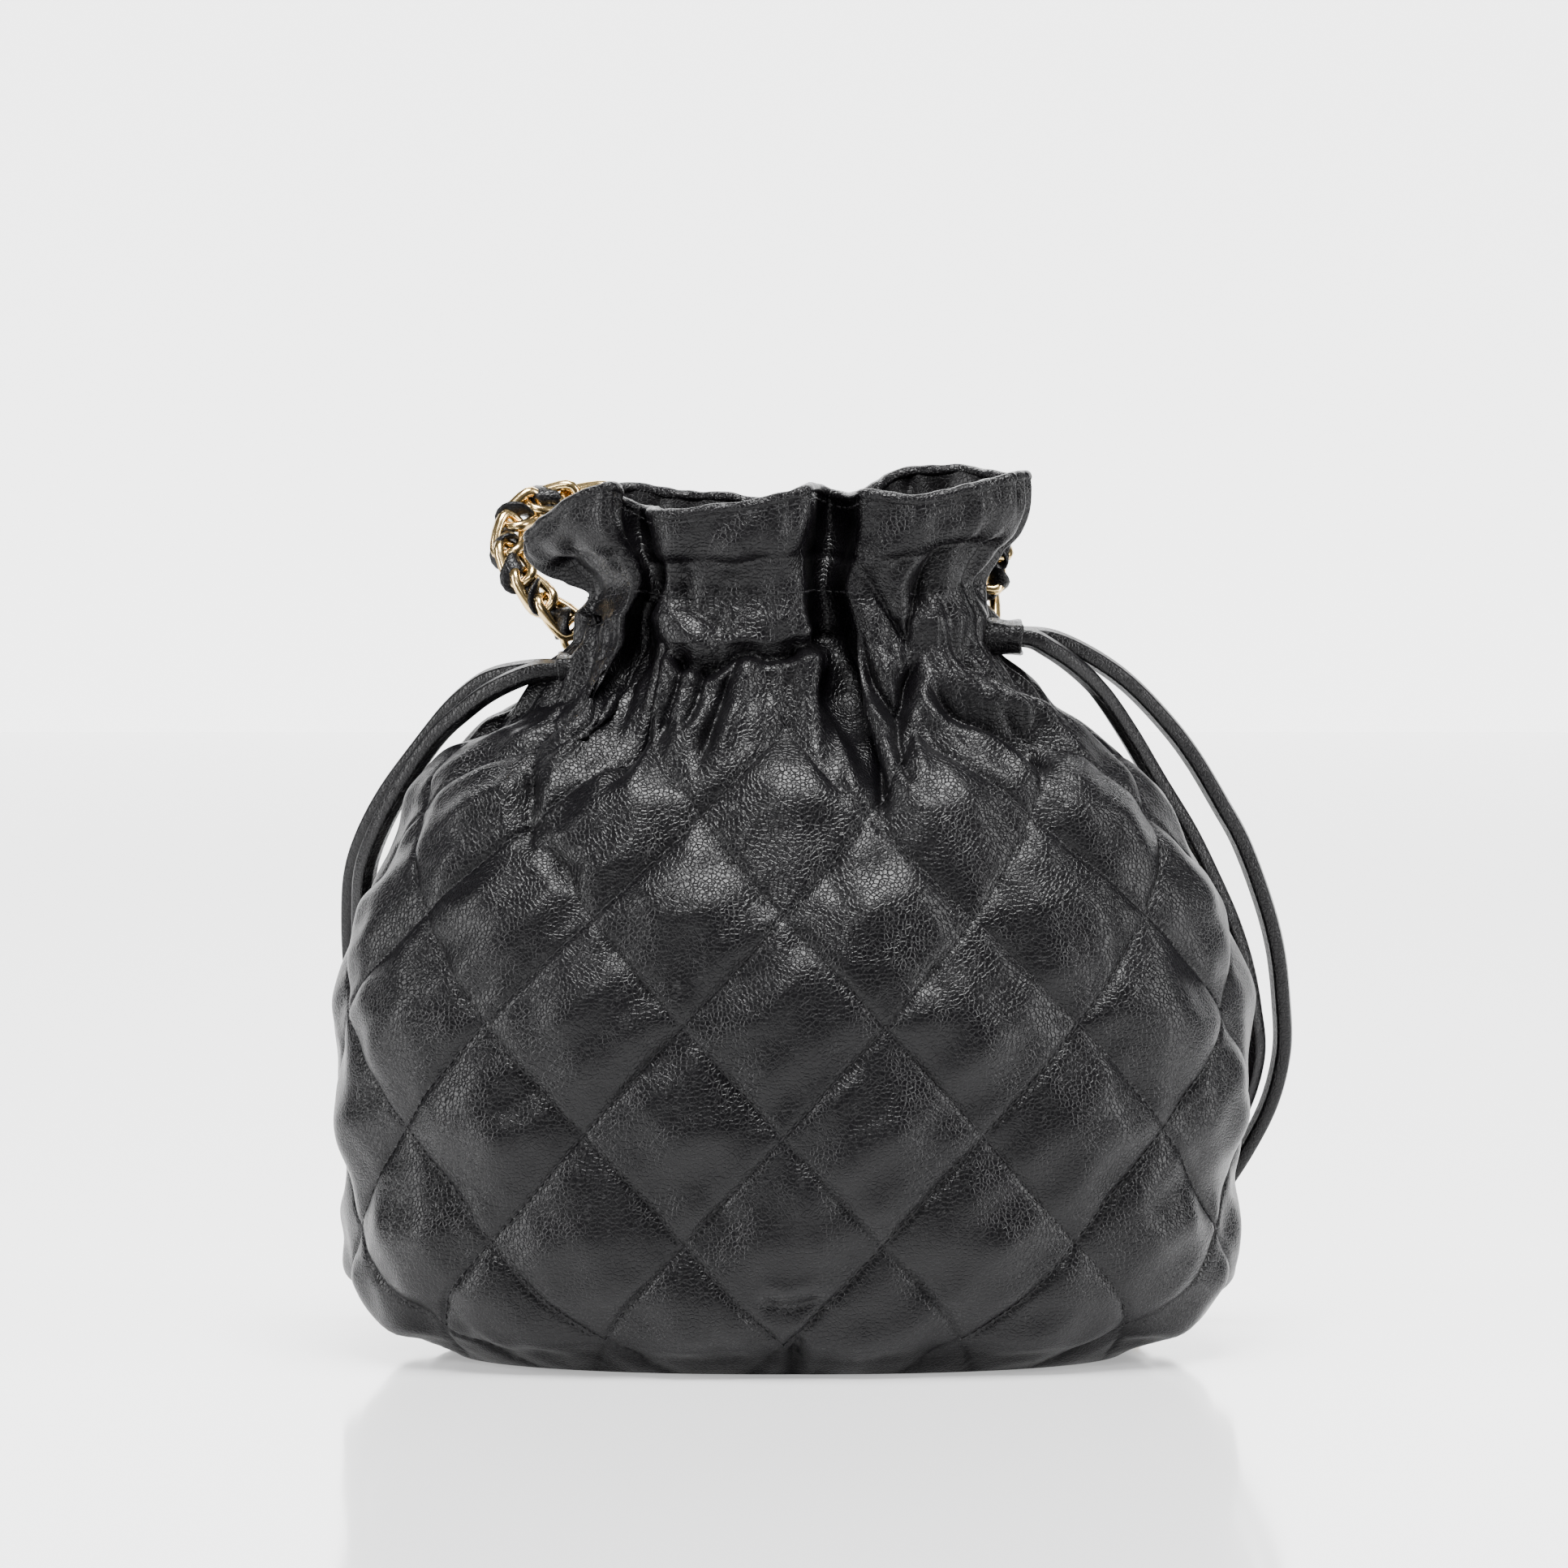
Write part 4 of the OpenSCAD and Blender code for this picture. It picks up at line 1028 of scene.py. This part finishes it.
pouch = crowned_cloth("cloth_pocket_pouch", "pocket_pouch", lining_cloth, 0.35, 0.18)
tape = crowned_cloth("woven_zip_tape", "zip_tape", zip_cloth, 0.7, 0.0)
tape_low, tape_high = (np.array(corner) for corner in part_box("zip_tape"))
tape_lines = []
for height in (tape_low[2] + 1.2 * MM, tape_high[2] - 1.2 * MM):
    along = np.linspace(tape_low[0] + 2 * MM, tape_high[0] - 2 * MM, 120)
    line = np.stack([along, np.full(120, tape_low[1] + 0.02 * MM), np.full(120, height)], axis=1)
    tape_lines.append((line, np.tile((0.0, -1.0, 0.0), (120, 1))))
tape_stitch = thread_item("tape_stitch", 1.5 * MM, 0.3 * MM)
tape_stitches = run_along("zip_tape_stitches", tape_lines, tape_stitch, 2.1 * MM, thread.material, "bag")

# %% [markdown]
# A leather tab holds each end ring: a strip goes round the ring's wire and its tail is sewn into the casing.
# Both are sweeps of the folded strip's section. The CAD tab gives the loop's place and where its tail ends.

# %% Leather tabs
LOOP_R, TAB_WIDTH, TAB_THICK = 2.15 * MM, 4.0 * MM, 1.3 * MM


def tab_piece(name, node, side):
    corners = np.array([v.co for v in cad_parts[node].data.vertices])
    outward = side * corners[:, 0]
    tail_end = corners[outward < outward.min() + 1.5 * MM].mean(axis=0)
    loop_x = side * (outward.max() - TAB_WIDTH / 2)
    loop_z = corners[:, 2].max() - LOOP_R - TAB_THICK / 2
    loop_y = corners[outward > outward.max() - 0.5 * MM][:, 1].mean()
    turn = np.linspace(-1.5, -1.5 + 0.97 * math.tau, 40)
    loop = np.stack([np.full(40, loop_x), loop_y + LOOP_R * np.cos(turn), loop_z + LOOP_R * np.sin(turn)], axis=1)
    points, faces = swept(loop, strip_outline(TAB_WIDTH, TAB_THICK, 20, 0.05), (1, 0, 0))
    under = np.array([loop_x + side * 1.6 * MM, loop_y, loop_z - LOOP_R])
    tail = tail_end + (under - tail_end) * np.linspace(0, 1, 16)[:, None]
    tail_points, tail_faces = swept(tail, strip_outline(3.2 * MM, TAB_THICK, 20, 0.05), (0, 0, 1))
    faces = list(faces) + [tuple(k + len(points) for k in face) for face in tail_faces]
    piece = new_mesh(name, np.concatenate([points, tail_points]), faces, plain_leather)
    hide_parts(node)
    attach(piece, "bag")
    print(name, "width along X", round(float(np.ptp(points[:, 0])) / MM, 2), "mm")
    return piece


tab_piece("leather_left_tab", "left_tab", -1)
tab_piece("leather_right_tab", "right_tab", 1)

# %% [markdown]
# Gold plate is a metal with a warm colour. Fingerprints and polish change its roughness, and a very fine
# scratch pattern breaks its highlights.

# %% Metal
def gold(name, tint=(0.80, 0.58, 0.27), rough=0.14):
    m = Material(name)
    where = m.place()
    smudge = m.noise(where, 140.0, 4.0, 0.6)
    scratch = m.noise(m.node("ShaderNodeVectorMath", {"operation": "MULTIPLY"},
                             {0: where, 1: (2400.0, 300.0, 900.0)}), 1.0, 2.0, 0.7)
    m.shader.inputs["Metallic"].default_value = 1.0
    m.set(Base_Color=m.ramp(smudge, [(0.3, tuple(0.9 * c for c in tint)), (0.7, tint)]))
    m.set(Roughness=rough + smudge * 0.12)
    m.set(Normal=m.bump(scratch, 0.00002, 0.6))
    return m.material


gold_metal = gold("pale_gold")
for node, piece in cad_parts.items():
    if any(word in node for word in ("links", "ring", "zip_teeth", "zip_slider", "zip_pull")):
        piece.data.materials.clear()
        piece.data.materials.append(gold_metal)
    elif "weave" in node:
        piece.data.materials.clear()
        piece.data.materials.append(string_leather)

# %% [markdown]
# The chain is a curb chain: every link is twisted, so that it lies flat on its neighbours. One link is made
# once and set along each part's line. A leather strip runs through them and bulges out once in every link.

# %% Chain links and the leather strip between them
left_riser_meets = [(-48.6, 16, 160.6), (-54.8, 17.6, 165.8), (-60, 20.5, 171.5), (-63.3, 25, 177.5),
                    (-62.6, 30.8, 183.3), (-57.6, 35.4, 187.9), (-49.6, 37, 188.6), (-41.4, 37, 188.6)]
right_riser_meets = [(43, 16.2, 162), (44.3, 18, 170), (45.8, 22, 177.1), (46.3, 28, 182.8),
                     (43.3, 34.3, 187.2), (36.2, 37.5, 189.8), (28.1, 37, 188.6), (19.9, 37, 188.6)]
strap_route = [(-44, 39.65, 188.6), (-43.5, 45, 182.5), (-43, 52, 175), (-41.5, 56, 165), (-40, 58.5, 150),
               (-41, 60.5, 130), (-42, 61.5, 110), (-43, 62.5, 90), (-44, 63.5, 70), (-45, 65, 50),
               (-44, 68, 32), (-40, 73, 18), (-33, 79, 8), (-24, 86, 4.6), (-12, 92, 4), (4, 96, 4),
               (24, 98, 4), (44, 98, 4), (58, 96, 4), (68, 93.5, 4.3), (75.5, 88, 7), (78.5, 81.5, 13),
               (76, 76, 21), (70, 73, 30), (62, 70.5, 40), (52, 67.5, 54), (43, 65.5, 70), (37, 63.5, 90),
               (32, 62, 110), (28, 60.5, 130), (25, 58.5, 150), (23.5, 56, 165), (22.5, 52, 175),
               (22.5, 45, 182.5), (22.5, 39.65, 188.6)]
LINK_HALF, LINK_SIDE, WIRE_R, LINK_TWIST = 5.7 * MM, 2.9 * MM, 1.25 * MM, 1.3 * MM


def curb_link():
    """One twisted link along X, whose flat face looks along Z."""
    steps, round_steps = 20, 8
    t = np.linspace(0, math.tau, steps, endpoint=False)
    line = np.stack([LINK_HALF * np.sign(np.cos(t)) * np.abs(np.cos(t)) ** 0.75,
                     LINK_SIDE * np.sign(np.sin(t)) * np.abs(np.sin(t)) ** 0.75,
                     LINK_TWIST * np.sin(2 * t)], axis=1)
    heading = unit_rows(np.roll(line, -1, axis=0) - np.roll(line, 1, axis=0))
    out = unit_rows(np.cross(heading, (0, 0, 1)))
    up = np.cross(out, heading)
    ring = np.linspace(0, math.tau, round_steps, endpoint=False)
    points = (line[:, None] + WIRE_R * (np.cos(ring)[None, :, None] * out[:, None]
                                        + np.sin(ring)[None, :, None] * up[:, None])).reshape(-1, 3)
    faces = [(i * round_steps + k, ((i + 1) % steps) * round_steps + k,
              ((i + 1) % steps) * round_steps + (k + 1) % round_steps, i * round_steps + (k + 1) % round_steps)
             for i in range(steps) for k in range(round_steps)]
    item = new_mesh("one_link", points, faces, gold_metal)
    item.hide_render = True
    return item


link_item = curb_link()


def chain_part(name, meets, up, tilt, body, links_node, weave_nodes, strip_side, strip_from, strip_to):
    meets = np.asarray(meets, float) * MM
    middles = (meets[:-1] + meets[1:]) / 2
    heading, side, normal = frames_along(middles, up)
    turned = normal * math.cos(tilt) + side * math.sin(tilt)
    piece = run_along(name, [(middles, turned)], link_item, 0.0, gold_metal, body, uneven=0.06)
    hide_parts(*links_node)
    smooth = resample(catmull(meets[strip_from:len(meets) - strip_to], 16), 0.55 * MM)
    reach = np.arange(len(smooth)) * 0.55 * MM
    pitch = float(np.mean(np.linalg.norm(np.diff(meets, axis=0), axis=1)))
    heading, side, normal = frames_along(smooth, up)
    phase = math.tau * reach[:, None] / pitch
    path = (smooth + strip_side * side * (0.9 * MM + 1.7 * MM * np.cos(phase)) + normal * 1.5 * MM * np.sin(phase))
    a = np.linspace(0, math.tau, 14, endpoint=False)
    outline = np.stack([2.5 * MM * np.cos(a), 0.95 * MM * np.sin(a)], axis=1)
    points, faces = swept(path, outline, up, 0.9 * np.sin(phase[:, 0]) + tilt)
    strip = new_mesh(name.replace("links", "strip"), points, faces, string_leather)
    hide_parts(*weave_nodes)
    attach(strip, body)
    return piece, strip


chain_part("left_riser_gold_links", left_riser_meets, (0.1, -1, 0), 0.5, "risers", ["left_riser_links"],
           ["left_riser_weave"], -1, 0, 1)
chain_part("right_riser_gold_links", right_riser_meets, (0.1, -1, 0), 0.5, "risers", ["right_riser_links"],
           ["right_riser_weave"], 1, 0, 1)
strap_line = resample(catmull(np.array(strap_route), 14), 9.2)
chain_part("strap_gold_links", strap_line, (0, 1, 0), 0.5, "strap",
           ["strap_links_left", "strap_links_floor", "strap_links_right"], ["strap_weave"], 1, 1, 1)
print("strap links", len(strap_line) - 1)

# %% [markdown]
# The studio is a sheet of pale floor and a white surround with large soft lights. A dark skin shows shape only
# through what it reflects, so the lights are broad and placed where they draw the edges.

# %% Studio
def area(name, place, target, size, power, shape_y=None):
    light = bpy.data.lights.new(name, "AREA")
    light.shape = "RECTANGLE"
    light.size = size
    light.size_y = shape_y or size
    light.energy = power
    lamp = bpy.data.objects.new(name, light)
    bpy.context.scene.collection.objects.link(lamp)
    lamp.location = place
    lamp.rotation_euler = (Vector(target) - Vector(place)).to_track_quat("-Z", "Y").to_euler()
    return lamp


world = bpy.data.worlds.new("studio")
bpy.context.scene.world = world
world.use_nodes = True
world.node_tree.nodes["Background"].inputs[0].default_value = (0.9, 0.94, 1, 1)
world.node_tree.nodes["Background"].inputs[1].default_value = 0.12
area("top", (0.05, -0.30, 1.1), (0, 0, 0.08), 0.5, 34)
area("left", (-1.0, -0.30, 0.40), (0, 0, 0.08), 0.25, 14, 0.9)
area("right", (1.0, -0.30, 0.40), (0, 0, 0.08), 0.25, 14, 0.9)
area("front_high", (-0.35, -1.4, 0.95), (0, 0, 0.1), 0.5, 9, 0.25)
area("behind", (0.0, 1.0, 0.9), (0, 0, 0.1), 0.8, 12, 0.4)

m = Material("studio_backdrop")
m.shader.inputs["Base Color"].default_value = (1, 1, 1, 1)
m.shader.inputs["Emission Color"].default_value = (1, 1, 1, 1)
m.shader.inputs["Emission Strength"].default_value = 3.0
backdrop = new_mesh("backdrop", [(-2, 2.5, -0.01), (2, 2.5, -0.01), (2, 2.5, 1.9), (-2, 2.5, 1.9)],
                    [(0, 1, 2, 3)], m.material, False)

m = Material("studio_floor")
m.set(Base_Color=(0.93, 0.93, 0.935, 1), Roughness=0.10)
m.shader.inputs["Specular IOR Level"].default_value = 0.5
m.shader.inputs["Emission Color"].default_value = (1, 1, 1, 1)
m.shader.inputs["Emission Strength"].default_value = 0.35
floor = new_mesh("floor", [(-3, -3, 0), (3, -3, 0), (3, 3, 0), (-3, 3, 0)], [(0, 1, 2, 3)], m.material, False)
